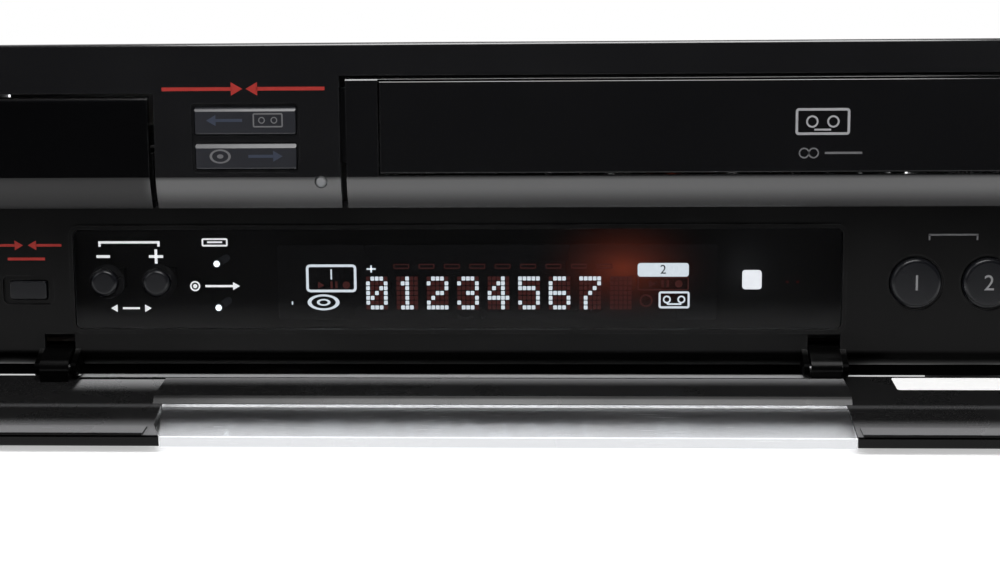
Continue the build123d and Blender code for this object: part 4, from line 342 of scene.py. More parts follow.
for material in (front_gloss, flap_gloss, door_gloss):
    # the band and the rounded upper edges are lacquered; the band's lacquer is thickest near
    # its top and thins towards its foot and over the tray door
    tree = material.node_tree
    apart = split(tree, node(tree, "ShaderNodeTexCoord").outputs["Object"])
    sheen = reckon(tree, "MULTIPLY", ranged(tree, apart.outputs["Z"], *BAND_TOP),
                   ranged(tree, apart.outputs["Z"], *BAND_FOOT))
    sheen = reckon(tree, "MULTIPLY", sheen, ranged(tree, apart.outputs["X"], *TRAY_END, 0.12, 0.9))
    leaning = split(tree, node(tree, "ShaderNodeNewGeometry").outputs["Normal"])
    upper = reckon(tree, "MULTIPLY", ranged(tree, leaning.outputs["Z"], *EDGES_LEAN),
                   ranged(tree, apart.outputs["Z"], *EDGES_ABOVE))
    shader = tree.nodes["Principled BSDF"]
    join(tree, reckon(tree, "MAXIMUM", sheen, upper), shader.inputs["Coat Weight"])
    shader.inputs["Coat IOR"].default_value = 1.8
    shader.inputs["Coat Roughness"].default_value = 0.12
dress(front_gloss, "front_fascia")
dress(flap_gloss, "cassette_flap", "cassette_surround")
dress(door_gloss, "tray_door")


def settle(piece, name, body, material, smooth=None):
    """Ends a new piece: transforms applied, normals outward, finish, body and slot given."""
    bpy.ops.object.select_all(action="DESELECT")
    piece.select_set(True)
    bpy.context.view_layer.objects.active = piece
    bpy.ops.object.transform_apply(location=True, rotation=True, scale=True)
    bpy.ops.object.mode_set(mode="EDIT")
    bpy.ops.mesh.select_all(action="SELECT")
    bpy.ops.mesh.normals_make_consistent(inside=False)
    bpy.ops.object.mode_set(mode="OBJECT")
    if smooth:
        bpy.ops.object.shade_smooth_by_angle(angle=math.radians(smooth))
    piece.name = name
    piece.data.name = name
    piece.data.materials.clear()
    piece.data.materials.append(material)
    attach(piece, body)


def together(pieces):
    """Joins printed shapes into one piece."""
    bpy.ops.object.select_all(action="DESELECT")
    for piece in pieces:
        piece.select_set(True)
    bpy.context.view_layer.objects.active = pieces[0]
    bpy.ops.object.join()
    return bpy.context.object


INK = 0.04


def thicken(piece, thick=INK):
    """Gives a flat printed shape its film of ink, towards the front."""
    bpy.ops.object.mode_set(mode="EDIT")
    bpy.ops.mesh.select_all(action="SELECT")
    bpy.ops.mesh.extrude_region_move(TRANSFORM_OT_translate={"value": (0, -thick / 1000, 0)})
    bpy.ops.object.mode_set(mode="OBJECT")
    return piece


def tile(x0, x1, z0, z1, y, corner=0.0, hollow=0.0, thick=INK):
    """A printed rectangle on a face that looks forward; hollow leaves only a border."""
    bpy.ops.object.select_all(action="DESELECT")
    bpy.ops.mesh.primitive_plane_add(size=1, location=at((x0 + x1) / 2, y, (z0 + z1) / 2),
                                     rotation=(math.pi / 2, 0, 0))
    piece = bpy.context.object
    piece.scale = ((x1 - x0) / 1000, (z1 - z0) / 1000, 1)
    bpy.ops.object.transform_apply(location=True, rotation=True, scale=True)
    bpy.ops.object.mode_set(mode="EDIT")
    if corner:
        bpy.ops.mesh.bevel(offset=corner / 1000, segments=4, affect="VERTICES")
    if hollow:
        bpy.ops.mesh.select_all(action="SELECT")
        bpy.ops.mesh.inset(thickness=hollow / 1000)
        bpy.ops.mesh.delete(type="FACE")
    bpy.ops.object.mode_set(mode="OBJECT")
    return thicken(piece, thick)


def disc(x, z, y, r, hollow=0.0, wide=1.0, sides=40, turn=0.0, thick=INK):
    """A printed disc, ring or, with three sides, a triangle."""
    bpy.ops.object.select_all(action="DESELECT")
    bpy.ops.mesh.primitive_circle_add(vertices=sides, radius=r / 1000, fill_type="NGON",
                                      location=(0, 0, 0), rotation=(0, 0, math.radians(turn)))
    piece = bpy.context.object
    bpy.ops.object.transform_apply(location=True, rotation=True, scale=True)
    bpy.ops.object.mode_set(mode="EDIT")
    if hollow:
        bpy.ops.mesh.select_all(action="SELECT")
        bpy.ops.mesh.inset(thickness=hollow / 1000)
        bpy.ops.mesh.delete(type="FACE")
    bpy.ops.object.mode_set(mode="OBJECT")
    piece.scale = (wide, 1, 1)
    bpy.ops.object.transform_apply(location=True, rotation=True, scale=True)
    piece.rotation_euler = (math.pi / 2, 0, 0)
    piece.location = at(x, y, z)
    bpy.ops.object.transform_apply(location=True, rotation=True, scale=True)
    return thicken(piece, thick)


def figure(text, x, z, y, high):
    """A plain printed number or sign, centred at x and z."""
    bpy.ops.object.select_all(action="DESELECT")
    bpy.ops.object.text_add(location=at(x, y, z), rotation=(math.pi / 2, 0, 0))
    piece = bpy.context.object
    piece.data.body = text
    piece.data.size = high * 1.38 / 1000
    piece.data.extrude = INK / 1000
    piece.data.resolution_u = 4
    piece.data.align_x = "CENTER"
    piece.data.align_y = "CENTER"
    bpy.ops.object.convert(target="MESH")
    bpy.ops.object.transform_apply(location=True, rotation=True, scale=True)
    return bpy.context.object


def ink(name, colour, rough=0.45, shine=0.0):
    """Printed paint: slightly uneven cover and gloss; shine makes it glow, as a lit one does, or as a
    painted glow on print that is not lit.
    """
    made, tree, shader = fresh_material(name)
    surface = place_group(tree, grain_group, Grain_Scale=3000.0, Cloud_Scale=900.0, Scratch=0.2)
    tone = blended(tree, surface.outputs["Cloud"], tuple(c * 0.8 for c in colour), colour)
    join(tree, tone, shader.inputs["Base Color"])
    join(tree, ranged(tree, surface.outputs["Cloud"], 0.3, 0.7, rough - 0.08, rough + 0.1),
         shader.inputs["Roughness"])
    if shine:
        join(tree, tone, shader.inputs["Emission Color"])
        shader.inputs["Emission Strength"].default_value = shine
    return made


# generic signs printed on the flap: a small cassette outline with a rule under it
grey_ink = ink("grey_ink", (0.40, 0.40, 0.41))
sign = [tile(118.0, 133.0, 81.2, 88.6, 0, corner=0.9, hollow=0.7)]
sign += [disc(122.6, 84.9, 0, 1.7, hollow=0.5), disc(128.4, 84.9, 0, 1.7, hollow=0.5)]
sign += [tile(123.2, 127.8, 82.4, 82.9, 0)]
settle(together(sign), "flap_sign", "flap", grey_ink)
dim_ink = ink("dim_ink", (0.16, 0.16, 0.165))
sign = [disc(120.5, 76.2, 0, 1.5, hollow=0.4), disc(123.1, 76.2, 0, 1.5, hollow=0.4)]
sign += [tile(126.2, 136.5, 75.9, 76.5, 0)]
settle(together(sign), "flap_rule", "flap", dim_ink)

# ==== Dubbing section: two long buttons in a shallow recess, red mark, lamp lens =====
# Polished keys moulded black, each with a printed pictogram and arrow; the red mark over
# them is paint; the lamp is a clear plug in the band, unlit.
key_gloss = finish_of("key_gloss", (0.026, 0.027, 0.032), 0.18, ior=1.62, bump=0.01,
                      rubbed=(0.10, 0.10, 0.11), wear=0.5, dust=0.3, scratch=0.15)
dress(key_gloss, "dub_upper_button", "dub_lower_button")
lamp_clear = finish_of("lamp_clear", (0.26, 0.265, 0.27), 0.22, bump=0.02, wear=0.2)
dress(lamp_clear, "indicator_lamp")
red_ink = ink("red_ink", (0.44, 0.020, 0.012), rough=0.5)


def arrow(x0, x1, z, y, high):
    """A printed arrow from x0 to x1, its head at x1."""
    way = 1 if x1 > x0 else -1
    head = high * 1.1
    stem = tile(min(x0, x1 - way * head * 0.8), max(x0, x1 - way * head * 0.8),
                z - high * 0.16, z + high * 0.16, y)
    tip = disc(x1 - way * head * 0.55, z, y, head * 0.62, sides=3, turn=-90 * way)
    return [stem, tip]


sign = arrow(-59.0, -36.4, 94.8, 0, 3.2) + arrow(-13.0, -35.0, 94.8, 0, 3.2)
settle(together(sign), "dubbing_sign", "unit", red_ink)
blue_ink = ink("blue_ink", (0.040, 0.052, 0.085))
DUB_FACE = 0.15
settle(together(arrow(-36.5, -46.5, 86.0, DUB_FACE, 2.6)), "upper_arrow", "dub_upper_button_body",
       blue_ink)
settle(together(arrow(-35.0, -25.5, 75.9, DUB_FACE, 2.6)), "lower_arrow", "dub_lower_button_body",
       blue_ink)
sign = [tile(-33.5, -25.0, 84.0, 88.0, DUB_FACE, corner=0.5, hollow=0.4)]
sign += [disc(-31.0, 86.0, DUB_FACE, 0.95, hollow=0.3), disc(-27.5, 86.0, DUB_FACE, 0.95, hollow=0.3)]
settle(together(sign), "cassette_pictogram", "dub_upper_button_body", dim_ink)
sign = [disc(-43.0, 75.9, DUB_FACE, 2.0, hollow=0.45, wide=1.5), disc(-43.0, 75.9, DUB_FACE, 0.6, wide=1.5)]
settle(together(sign), "disc_pictogram", "dub_lower_button_body", dim_ink)

# ==== Control panel with its keys and jacks ========================================
# Satin black moulding, keys in soft gloss; printed rules and figures, never words.
panel_satin = finish_of("panel_satin", (0.0036, 0.0035, 0.0035), 0.34, ior=1.3, grain=6000, bump=0.04,
                        rubbed=(0.06, 0.06, 0.06), wear=0.35, dust=0.5)
# painted shade: the turned-in edge along the foot is darkened to near black and made metallic, so it hardly
# mirrors
LIP_LOW, LIP_HIGH = 0.0175, 0.0190
tree = panel_satin.node_tree
apart = split(tree, node(tree, "ShaderNodeTexCoord").outputs["Object"])
# painted shade on the turned-in edge
lip_painted_shade = ranged(tree, apart.outputs["Z"], LIP_HIGH, LIP_LOW)
join(tree, lip_painted_shade, tree.nodes["Principled BSDF"].inputs["Metallic"])
overlay(tree, lip_painted_shade, (0.003, 0.003, 0.003))
dress(panel_satin, "control_panel")
round_gloss = finish_of("round_gloss", (0.0060, 0.0064, 0.0085), 0.26, ior=1.5, bump=0.02,
                        rubbed=(0.05, 0.05, 0.055), wear=0.3, dust=0.25)
dress(round_gloss, "disc_select_button", "tape_select_button", "cassette_eject_button", "power_button",
      "minus_button", "plus_button", "dubbing_key", "open_close_key", "play_key", "stop_key")
socket_black = finish_of("socket_black", (0.02, 0.02, 0.021), 0.40, bump=0.15, rubbed=(0.1, 0.1, 0.1))
dress(socket_black, "front_jacks", "rear_jacks", "mains_inlet")

ROUND_FACE = 8.4
label_grey = ink("label_grey", (0.30, 0.30, 0.305))
settle(figure("1", 154.2, 38.3, ROUND_FACE, 4.6), "select_figure_one", "disc_select_button_body",
       label_grey)
settle(figure("2", 174.6, 38.3, ROUND_FACE, 4.6), "select_figure_two", "tape_select_button_body",
       label_grey)
sign = [disc(195.0, 39.2, ROUND_FACE, 2.3, sides=3, turn=0), tile(193.0, 197.0, 35.9, 36.8, ROUND_FACE)]
settle(together(sign), "eject_pictogram", "cassette_eject_button_body", label_grey)
sign = [disc(-196.5, 41.0, ROUND_FACE, 2.5, hollow=0.5), tile(-196.8, -196.2, 41.2, 44.3, ROUND_FACE)]
settle(together(sign), "power_pictogram", "power_button_body", label_grey)
KEY_FACE = 9.6
settle(disc(-162.0, 50.0, KEY_FACE, 1.4, sides=3, turn=-90), "play_pictogram", "play_key_body",
       label_grey)
settle(tile(-146.2, -143.8, 48.8, 51.2, KEY_FACE), "stop_pictogram", "stop_key_body",
       label_grey)
sign = [disc(-179.0, 50.5, KEY_FACE, 1.3, sides=3), tile(-180.1, -177.9, 48.6, 49.1, KEY_FACE)]
settle(together(sign), "open_pictogram", "open_close_key_body", label_grey)
panel_ink = ink("panel_ink", (0.17, 0.17, 0.175))
PANEL_FACE = 10.0
sign = [tile(157.5, 171.5, 51.9, 52.4, PANEL_FACE)]
sign += [tile(x, x + 0.5, 50.6, 52.2, PANEL_FACE) for x in (157.5, 171.0)]
settle(together(sign), "select_rule", "unit", panel_ink)
sign = arrow(-113.5, -104.0, 49.6, PANEL_FACE, 2.4) + arrow(-92.5, -102.2, 49.6, PANEL_FACE, 2.4)
sign += [tile(-108.5, -97.5, 45.2, 46.0, PANEL_FACE)]
settle(together(sign), "key_sign", "unit", red_ink)

# ==== Display window: smoked lens, printed signs and two light pipes ================
# One dark tinted moulding set in the bezel; white signs are printed on its face. The
# pipes carry two small lamps through it.
window_dark, tree, shader = fresh_material("window_dark")
surface = place_group(tree, grain_group, Grain_Scale=7000.0, Scratch=0.12)
dusty = place_group(tree, dust_group, Amount=0.4)
shader.inputs["IOR"].default_value = 1.26
join(tree, ranged(tree, surface.outputs["Cloud"], 0.3, 0.7, 0.035, 0.075), shader.inputs["Roughness"])
join(tree, blended(tree, dusty.outputs["Mask"], (0.30, 0.30, 0.31), (0.4, 0.4, 0.4)),
     shader.inputs["Base Color"])
shader.inputs["Transmission Weight"].default_value = 1.0
grained(tree, shader, surface, 0.003)
dress(window_dark, "display_window")

WINDOW_FACE = 9.7
# the white print carries a faint painted glow, though it is not lit
white_ink_painted_glow = ink("white_ink_painted_glow", (0.86, 0.87, 0.88), shine=0.35)
sign = [tile(-82.2, -78.2, 45.9, 46.7, WINDOW_FACE)]
sign += [tile(-66.8, -62.6, 45.9, 46.7, WINDOW_FACE), tile(-65.1, -64.3, 44.2, 48.4, WINDOW_FACE)]
sign += [tile(-81.5, -63.5, 50.1, 50.8, WINDOW_FACE), tile(-81.5, -80.8, 49.2, 50.5, WINDOW_FACE)]
sign += [tile(-64.2, -63.5, 49.2, 50.5, WINDOW_FACE)]
sign += [disc(-77.2, 31.1, WINDOW_FACE, 1.3, sides=3, turn=90)]
sign += [disc(-67.8, 31.1, WINDOW_FACE, 1.3, sides=3, turn=-90)]
sign += [tile(-75.0, -70.0, 30.8, 31.4, WINDOW_FACE)]
settle(together(sign), "adjust_signs", "unit", white_ink_painted_glow)
sign = [tile(-51.2, -43.6, 49.2, 51.6, WINDOW_FACE, corner=0.5, hollow=0.5)]
sign += [tile(-49.6, -45.2, 50.2, 50.7, WINDOW_FACE)]
sign += [disc(-53.5, 37.6, WINDOW_FACE, 1.5, hollow=0.45), disc(-53.5, 37.6, WINDOW_FACE, 0.6)]
sign += arrow(-50.5, -40.5, 37.6, WINDOW_FACE, 2.0)
settle(together(sign), "link_signs", "unit", white_ink_painted_glow)

pipe_lit, tree, shader = fresh_material("pipe_lit")
surface = place_group(tree, grain_group, Grain_Scale=7000.0)
lit = blended(tree, surface.outputs["Cloud"], (0.80, 0.92, 1.0), (0.97, 1.0, 1.0))
PIPE_FRONT = -0.1398
apart = split(tree, node(tree, "ShaderNodeTexCoord").outputs["Object"])
ended = ranged(tree, apart.outputs["Y"], PIPE_FRONT, PIPE_FRONT - 0.0002)
lit = blended(tree, ended, (0.02, 0.022, 0.025), lit)
join(tree, lit, shader.inputs["Base Color"])
join(tree, lit, shader.inputs["Emission Color"])
shader.inputs["Emission Strength"].default_value = 1.1
join(tree, ranged(tree, surface.outputs["Cloud"], 0.3, 0.7, 0.15, 0.25), shader.inputs["Roughness"])
dress(pipe_lit, "indicator_pipes")

# ==== Display tube and what it shows ================================================
# A flat glass tube with dot characters and pictograms in blue-white phosphor; the unlit ones
# show faintly by a painted red glow. The place of each word holds a number or a pictogram.

# a painted warm glow about one point of the tube, in metres, squeezed upwards; laid on the tube glass and
# on the board behind
GLOW_X, GLOW_Z, GLOW_SQUEEZE, GLOW_FALL = 0.071, 0.042, 1.6, 3.0
painted_glow_group, given, result = start_group("painted_cathode_glow", (("Reach", NUMBER, 0.030),), (("Colour", COLOUR),))
where = node(painted_glow_group, "ShaderNodeTexCoord")
shifted = node(painted_glow_group, "ShaderNodeMapping", Location=(-GLOW_X, 0.0, -GLOW_Z * GLOW_SQUEEZE),
               Scale=(1.0, 0.0, GLOW_SQUEEZE))
join(painted_glow_group, where.outputs["Object"], shifted.inputs["Vector"])
distance = painted_glow_group.nodes.new("ShaderNodeVectorMath")
distance.operation = "LENGTH"
join(painted_glow_group, shifted.outputs[0], distance.inputs[0])
share = reckon(painted_glow_group, "DIVIDE", distance.outputs["Value"], given.outputs["Reach"])
haze = reckon(painted_glow_group, "SUBTRACT", 1.0, share)
haze = reckon(painted_glow_group, "POWER", reckon(painted_glow_group, "MAXIMUM", haze, 0.0), GLOW_FALL)
join(painted_glow_group, blended(painted_glow_group, haze, (0.0, 0.0, 0.0), (0.34, 0.055, 0.022)), result.inputs["Colour"])

tube_glass, tree, shader = fresh_material("tube_glass")
surface = place_group(tree, grain_group, Grain_Scale=7000.0, Scratch=0.1)
# painted glow laid on the tube glass
join(tree, place_group(tree, painted_glow_group).outputs["Colour"], shader.inputs["Emission Color"])
shader.inputs["Emission Strength"].default_value = 1.15
join(tree, blended(tree, surface.outputs["Cloud"], (0.010, 0.010, 0.011), (0.016, 0.016, 0.018)),
     shader.inputs["Base Color"])
join(tree, ranged(tree, surface.outputs["Cloud"], 0.3, 0.7, 0.08, 0.14), shader.inputs["Roughness"])
dress(tube_glass, "display_tube")

phosphor = ink("phosphor_lit", (0.86, 0.95, 1.0), shine=2.6)
# the unlit dots and signs carry a faint painted glow, though they are not lit
phosphor_dim_painted_glow = ink("phosphor_unlit_painted_glow", (0.22, 0.050, 0.042), shine=0.45)
TUBE_FACE = 15.0
CELL_LEFT, CELL_PITCH, CELL_BOTTOM = -4.1, 8.9, 30.0
DOT_PITCH_X, DOT_PITCH_Z, DOT_WIDE, DOT_HIGH = 1.3, 1.42, 1.08, 1.18
FIGURES = {
    "0": ("01110", "10001", "10011", "10101", "11001", "10001", "01110"),
    "1": ("00100", "01100", "00100", "00100", "00100", "00100", "01110"),
    "2": ("01110", "10001", "00001", "00110", "01000", "10000", "11111"),
    "3": ("01110", "10001", "00001", "00110", "00001", "10001", "01110"),
    "4": ("00010", "00110", "01010", "10010", "11111", "00010", "00010"),
    "5": ("11111", "10000", "11110", "00001", "00001", "10001", "01110"),
    "6": ("01110", "10000", "10000", "11110", "10001", "10001", "01110"),
    "7": ("11111", "00001", "00010", "00100", "01000", "01000", "01000"),
}
lit_dots, unlit_dots = [], []
pattern = tile(0, DOT_WIDE, 0, DOT_HIGH, TUBE_FACE, corner=0.18)
for cell, shown in enumerate("01234567"):
    for row, dots in enumerate(FIGURES[shown]):
        for column, mark in enumerate(dots):
            dot = pattern.copy()
            dot.data = pattern.data.copy()
            x = CELL_LEFT + cell * CELL_PITCH + column * DOT_PITCH_X
            z = CELL_BOTTOM + (6 - row) * DOT_PITCH_Z
            dot.data.transform(Matrix.Translation((x / 1000, 0, z / 1000)))
            bpy.context.collection.objects.link(dot)
            (lit_dots if mark == "1" else unlit_dots).append(dot)
bpy.data.objects.remove(pattern)
settle(together(lit_dots), "lit_characters", "unit", phosphor)
settle(together(unlit_dots), "unlit_dots", "unit", phosphor_dim_painted_glow)

sign = [tile(-21.7, -6.9, 35.1, 43.3, TUBE_FACE, corner=1.2, hollow=0.75)]
sign += [figure("1", -14.3, 40.2, TUBE_FACE, 3.2)]
sign += [disc(-16.7, 32.1, TUBE_FACE, 2.35, hollow=0.55, wide=2.0)]
sign += [disc(-16.7, 32.1, TUBE_FACE, 1.0, hollow=0.4, wide=2.0)]
sign += [tile(-3.9, -1.2, 41.7, 42.2, TUBE_FACE), tile(-2.8, -2.3, 40.9, 43.0, TUBE_FACE)]
sign += [tile(-26.1, -25.7, 31.4, 32.4, TUBE_FACE)]
settle(together(sign), "disc_side_lit", "unit", phosphor)
sign = [tile(75.1, 89.9, 39.6, 43.6, TUBE_FACE, corner=0.8)]
sign += [tile(81.2, 90.2, 30.3, 35.3, TUBE_FACE, corner=0.7, hollow=0.6)]
sign += [disc(83.6, 32.9, TUBE_FACE, 1.15, hollow=0.45), disc(87.8, 32.9, TUBE_FACE, 1.15, hollow=0.45)]
sign += [tile(83.6, 87.8, 31.3, 31.8, TUBE_FACE)]
settle(together(sign), "cassette_side_lit", "unit", phosphor)
dark_figure = ink("figure_unlit", (0.01, 0.01, 0.012))
settle(figure("2", 82.5, 41.6, TUBE_FACE - 2 * INK, 2.7), "cassette_side_figure", "unit",
       dark_figure)
sign = [disc(-17.6, 37.2, TUBE_FACE, 1.2, sides=3, turn=-90), tile(-14.6, -13.9, 36.2, 38.3, TUBE_FACE)]
sign += [tile(-13.2, -12.5, 36.2, 38.3, TUBE_FACE), disc(-9.9, 37.2, TUBE_FACE, 1.1, sides=20)]
sign += [disc(79.0, 37.5, TUBE_FACE, 1.2, sides=3, turn=-90), tile(82.0, 82.7, 36.5, 38.6, TUBE_FACE)]
sign += [tile(83.5, 84.2, 36.5, 38.6, TUBE_FACE), disc(87.0, 37.5, TUBE_FACE, 1.1, sides=20)]
sign += [disc(77.6, 32.6, TUBE_FACE, 1.9, hollow=0.5)]
sign += [tile(75.1, 89.9, 35.6, 39.5, TUBE_FACE, corner=0.6, hollow=0.35)]
for place in range(9):
    x = 4.0 + place * 7.4
    sign.append(tile(x, x + 4.6, 42.0, 43.4, TUBE_FACE, corner=0.3, hollow=0.3))
SPARE_CELL = 67.1
for row in range(7):
    for column in range(5):
        x, z = SPARE_CELL + column * DOT_PITCH_X, CELL_BOTTOM + row * DOT_PITCH_Z
        sign.append(tile(x, x + DOT_WIDE, z, z + DOT_HIGH, TUBE_FACE))
settle(together(sign), "unlit_signs", "unit", phosphor_dim_painted_glow)

# a bright square lamp on the board beside the tube, seen through the window
lamp_white = ink("lamp_white", (0.95, 0.98, 1.0), shine=3.0)
LAMP_FACE, LAMP_THICK = 16.0, 1.2
settle(tile(105.4, 110.9, 35.9, 41.4, LAMP_FACE, corner=0.8, thick=LAMP_THICK), "square_lamp", "unit",
       lamp_white)
ember = ink("lamp_red", (0.20, 0.02, 0.012), shine=0.5)
sign = [tile(x, x + 0.8, 37.6, 38.2, LAMP_FACE) for x in (118.0, 121.0)]
settle(together(sign), "red_points", "unit", ember)
board_brown = finish_of("board_brown", (0.24, 0.15, 0.07), 0.5, grain=1400, bump=0.2,
                        rubbed=(0.4, 0.3, 0.2))
dress(board_brown, "power_board")
board_dark = finish_of("board_dark", (0.006, 0.006, 0.006), 0.6, grain=1400, bump=0.2, wear=0.1)
tree = board_dark.node_tree
shader = tree.nodes["Principled BSDF"]
# painted glow laid on the board behind the tube
join(tree, place_group(tree, painted_glow_group).outputs["Colour"], shader.inputs["Emission Color"])
shader.inputs["Emission Strength"].default_value = 0.95
dress(board_dark, "front_board")

# ==== Front door with its clear middle, on two steel pins ============================
# Satin black moulding with a raised step inside; the middle is clear acrylic let into it,
# and a bare white label is stuck on near the right hinge end. Two arms turn on steel pins.
door_satin = finish_of("door_satin", (0.0065, 0.0065, 0.0068), 0.25, ior=1.55, grain=6500, bump=0.02,
                       rubbed=(0.06, 0.06, 0.06), wear=0.4, dust=0.2)
dress(door_satin, "front_door")
# the ridge by the hinge and the strip along the free edge are painted grey as highlights, with
# a fainter painted line between them; the outer edge, the arms and some upright and sloped faces
# are painted shade, near black and metallic; each pair runs from none to full, in metres of the frame
HINGE_EDGE, HINGE_FADE = (-0.1408, -0.1420), (-0.1550, -0.1420)
RIDGE_LEFT, RIDGE_RIGHT = (-0.0876, -0.0861), (0.1340, 0.1325)
FREE_EDGE, FREE_FADE = (-0.1883, -0.1873), (-0.1745, -0.1850)
LINE_AT, LINE_HALF, LINE_SHARE = -0.1655, 0.0022, 0.22
PAINTED_SHADE_ABOVE, PAINTED_SHADE_FRONT = (0.0126, 0.0131), (-0.1878, -0.1886)
SLOPE_SHADE, LENS_CUT, LENS_CUT_HALF = (0.0089, 0.0096), -0.1642, (0.0007, 0.0005)
tree = door_satin.node_tree
apart = split(tree, node(tree, "ShaderNodeTexCoord").outputs["Object"])
leaning = split(tree, node(tree, "ShaderNodeNewGeometry").outputs["True Normal"])
upward = ranged(tree, leaning.outputs["Z"], 0.3, 0.6)
near = ranged(tree, apart.outputs["Y"], *HINGE_FADE)
for along, zone in (("Y", HINGE_EDGE), ("X", RIDGE_LEFT), ("X", RIDGE_RIGHT)):
    near = reckon(tree, "MULTIPLY", near, ranged(tree, apart.outputs[along], *zone))
near = reckon(tree, "MULTIPLY", near, upward)
free = reckon(tree, "MULTIPLY", ranged(tree, apart.outputs["Y"], *FREE_EDGE),
              ranged(tree, apart.outputs["Y"], *FREE_FADE))
aside = reckon(tree, "ABSOLUTE", reckon(tree, "SUBTRACT", apart.outputs["Y"], LINE_AT))
free = reckon(tree, "MAXIMUM", free, ranged(tree, aside, LINE_HALF, 0.0, 0.0, LINE_SHARE))
free = reckon(tree, "MULTIPLY", free, upward)
door_painted_shade = reckon(tree, "MAXIMUM", ranged(tree, apart.outputs["Z"], *PAINTED_SHADE_ABOVE),
              ranged(tree, apart.outputs["Y"], *PAINTED_SHADE_FRONT))
from_cut = reckon(tree, "ABSOLUTE", reckon(tree, "SUBTRACT", apart.outputs["Y"], LENS_CUT))
upright = reckon(tree, "MULTIPLY", ranged(tree, leaning.outputs["Y"], -0.90, -0.95),
                 ranged(tree, from_cut, *LENS_CUT_HALF))
sloped = reckon(tree, "MULTIPLY", ranged(tree, leaning.outputs["Y"], -0.60, -0.75),
                ranged(tree, apart.outputs["Z"], *SLOPE_SHADE))
door_painted_shade = reckon(tree, "MAXIMUM", door_painted_shade, reckon(tree, "MAXIMUM", upright, sloped))
# painted highlights on the ridge and along the free edge, painted shade on the dark parts
overlay(tree, near, (0.44, 0.44, 0.445))
overlay(tree, free, (0.27, 0.27, 0.275))
overlay(tree, door_painted_shade, (0.014, 0.014, 0.014))
join(tree, door_painted_shade, tree.nodes["Principled BSDF"].inputs["Metallic"])
dress(plated, "door_hinge_pins")
lens_clear, tree, shader = fresh_material("lens_clear")
surface = place_group(tree, grain_group, Grain_Scale=7000.0, Scratch=0.3)
dusty = place_group(tree, dust_group, Amount=0.15)
shader.inputs["IOR"].default_value = 1.49
shader.inputs["Transmission Weight"].default_value = 1.0
# painted glow: the sheet's free edge glows, standing in for light piped through the sheet
apart = split(tree, node(tree, "ShaderNodeTexCoord").outputs["Object"])
LENS_END = (-0.1886, -0.1888)
edge_painted_glow = ranged(tree, apart.outputs["Y"], *LENS_END)
join(tree, blended(tree, edge_painted_glow, (0.0, 0.0, 0.0), (0.72, 0.73, 0.75)), shader.inputs["Emission Color"])
shader.inputs["Emission Strength"].default_value = 1.0
gloss = ranged(tree, surface.outputs["Cloud"], 0.3, 0.7, 0.06, 0.13)
join(tree, reckon(tree, "ADD", gloss, surface.outputs["Hairline"]), shader.inputs["Roughness"])
join(tree, blended(tree, dusty.outputs["Mask"], (0.90, 0.91, 0.93), (0.7, 0.7, 0.7)),
     shader.inputs["Base Color"])
grained(tree, shader, surface, 0.01)
dress(lens_clear, "door_lens")

# the label is modelled on the shut door and swung open with it
# the label carries a faint painted glow, though it is not lit
label_white_painted_glow = ink("label_white_painted_glow", (0.86, 0.86, 0.85), rough=0.55, shine=0.5)
DOOR_PIVOT_Y, DOOR_PIVOT_Z, DOOR_OPEN, DOOR_INNER = 6.0, 14.0, 98.0, 2.8
LABEL_LEFT, LABEL_RIGHT, LABEL_FOOT, LABEL_TOP = 147.5, 209.5, 12.6, 22.6
label = tile(LABEL_LEFT, LABEL_RIGHT, LABEL_FOOT, LABEL_TOP, DOOR_INNER, corner=0.8, thick=-0.06)
pivot = at(0, DOOR_PIVOT_Y, DOOR_PIVOT_Z)
label.matrix_world = (Matrix.Translation(pivot) @ Matrix.Rotation(math.radians(DOOR_OPEN), 4, "X")
                      @ Matrix.Translation(-pivot))
settle(label, "door_label", "front_flap_door", label_white_painted_glow)

# ==== Disc loader ====================================================================
# Glass-filled black mouldings for tray and frame, a white acetal pinion and clamper, a
# pressed traverse and bridge, ground rods and can motors.
frame_black = finish_of("frame_black", (0.035, 0.035, 0.037), 0.48, grain=1500, bump=0.25,
                        rubbed=(0.12, 0.12, 0.12))
acetal = finish_of("acetal_white", (0.72, 0.72, 0.69), 0.38, bump=0.08, rubbed=(0.85, 0.85, 0.83))
dress(frame_black, "disc_tray", "loader_frame", "turntable", "optical_pickup", "supply_reel_table",
      "take_up_reel_table")
dress(acetal, "tray_pinion", "disc_clamper")
dress(zinc, "traverse_frame", "clamp_bridge", "loader_bracket", "spindle_motor", "tray_motor")
dress(plated, "sled_rods")

# ==== Cassette deck ===================================================================
# Zinc-plated deck, side plates, slides and holder; a turned aluminium head drum; the
# capstan shaft is ground steel.
drum_alloy = finish_of("drum_alloy", (0.74, 0.74, 0.75), 0.22, metal=1.0, grain=1200, bump=0.05,
                       rubbed=(0.85, 0.85, 0.85), wear=0.5)
dress(zinc, "deck_plate", "deck_bracket_left", "deck_bracket_right", "carriage_sliders",
      "cassette_carriage", "pinch_arm")
dress(drum_alloy, "drum_base", "head_drum")
dress(plated, "capstan")

# ==== Boards and rear sockets ==========================================================
# Printed boards with a solder-mask sheen; sockets in black mouldings with coloured rings
# and plated screens, framed and numbered in white print.
board_green = finish_of("board_green", (0.030, 0.13, 0.055), 0.36, grain=1400, bump=0.2,
                        rubbed=(0.3, 0.35, 0.2))
dress(board_green, "main_board")
dress(plated, "digital_socket", "aerial_sockets")

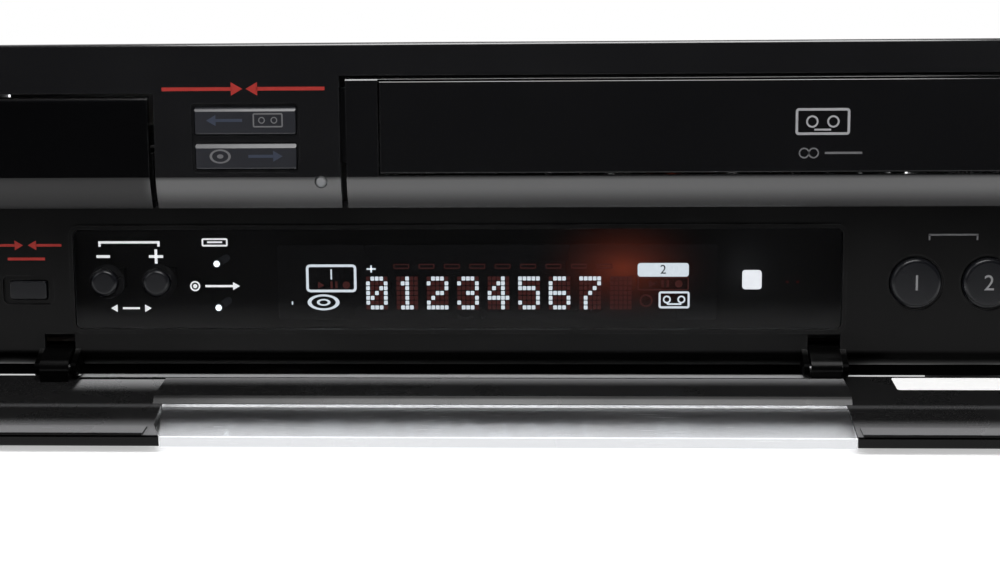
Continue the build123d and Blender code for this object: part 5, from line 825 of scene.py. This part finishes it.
# coloured collars round the ring jacks, yellow for picture, white and red for sound
REAR_FACE, COLLAR_R, COLLAR_WIDE, COLLAR_HIGH = 330.0, 6.3, 1.6, 1.0
COLLAR_EDGE = 0.0002
COLLARS = {"yellow": (0.62, 0.42, 0.02), "white": (0.68, 0.68, 0.66), "red": (0.42, 0.018, 0.014),
           "green": (0.03, 0.26, 0.06), "blue": (0.02, 0.06, 0.36)}
plastics = {}
for shade, colour in COLLARS.items():
    plastics[shade] = finish_of("collar_" + shade, colour, 0.32, grain=4000, bump=0.05,
                                rubbed=tuple(min(1.0, c * 1.4 + 0.1) for c in colour), wear=0.3)
REAR_COLUMNS = ((30.0, "yellow", "green"), (46.0, "white", "blue"), (62.0, "red", "red"),
                (78.0, "white", "white"), (94.0, "red", "red"))
for x, upper, lower in REAR_COLUMNS:
    for z, shade in ((44.0, upper), (28.0, lower)):
        collar = disc(x, z, REAR_FACE, COLLAR_R, hollow=COLLAR_WIDE, thick=-COLLAR_HIGH)
        bpy.ops.object.modifier_add(type="BEVEL")
        collar.modifiers["Bevel"].width = COLLAR_EDGE
        collar.modifiers["Bevel"].segments = 2
        bpy.ops.object.modifier_apply(modifier="Bevel")
        settle(collar, "collar_%d_%d" % (x, z), "unit", plastics[shade], smooth=35)
FRONT_RING = 8.0
for x, shade in ((-172.0, "yellow"), (-156.0, "white"), (-140.0, "red")):
    settle(disc(x, 31.0, FRONT_RING, 4.1, hollow=0.7), "front_ring_%d" % -x, "unit",
           plastics[shade])

# printed frames and plain numbers on the back
rear_ink = ink("rear_ink", (0.72, 0.72, 0.70))
sign = []
for x0, x1, z0, z1 in ((21.5, 70.5, 20.0, 55.0), (71.5, 102.5, 20.0, 55.0), (150.0, 170.0, 16.0, 54.0),
                       (-33.0, -7.0, 22.0, 38.0)):
    sign.append(tile(x0, x1, z0, z1, REAR_FACE, corner=1.5, hollow=0.35, thick=-INK))
for text, x, z in (("1", 46.0, 58.5), ("2", 87.0, 58.5), ("3", 160.0, 57.5), ("4", -20.0, 41.5)):
    numeral = figure(text, 0, z, 0, 3.4)
    bpy.ops.object.mode_set(mode="EDIT")
    bpy.ops.mesh.select_all(action="SELECT")
    bpy.ops.transform.rotate(value=math.pi, orient_axis="Z", center_override=at(0, 0, z))
    bpy.ops.transform.translate(value=(x / 1000, REAR_FACE / 1000, 0))
    bpy.ops.object.mode_set(mode="OBJECT")
    sign.append(numeral)
settle(together(sign), "rear_frames", "unit", rear_ink)
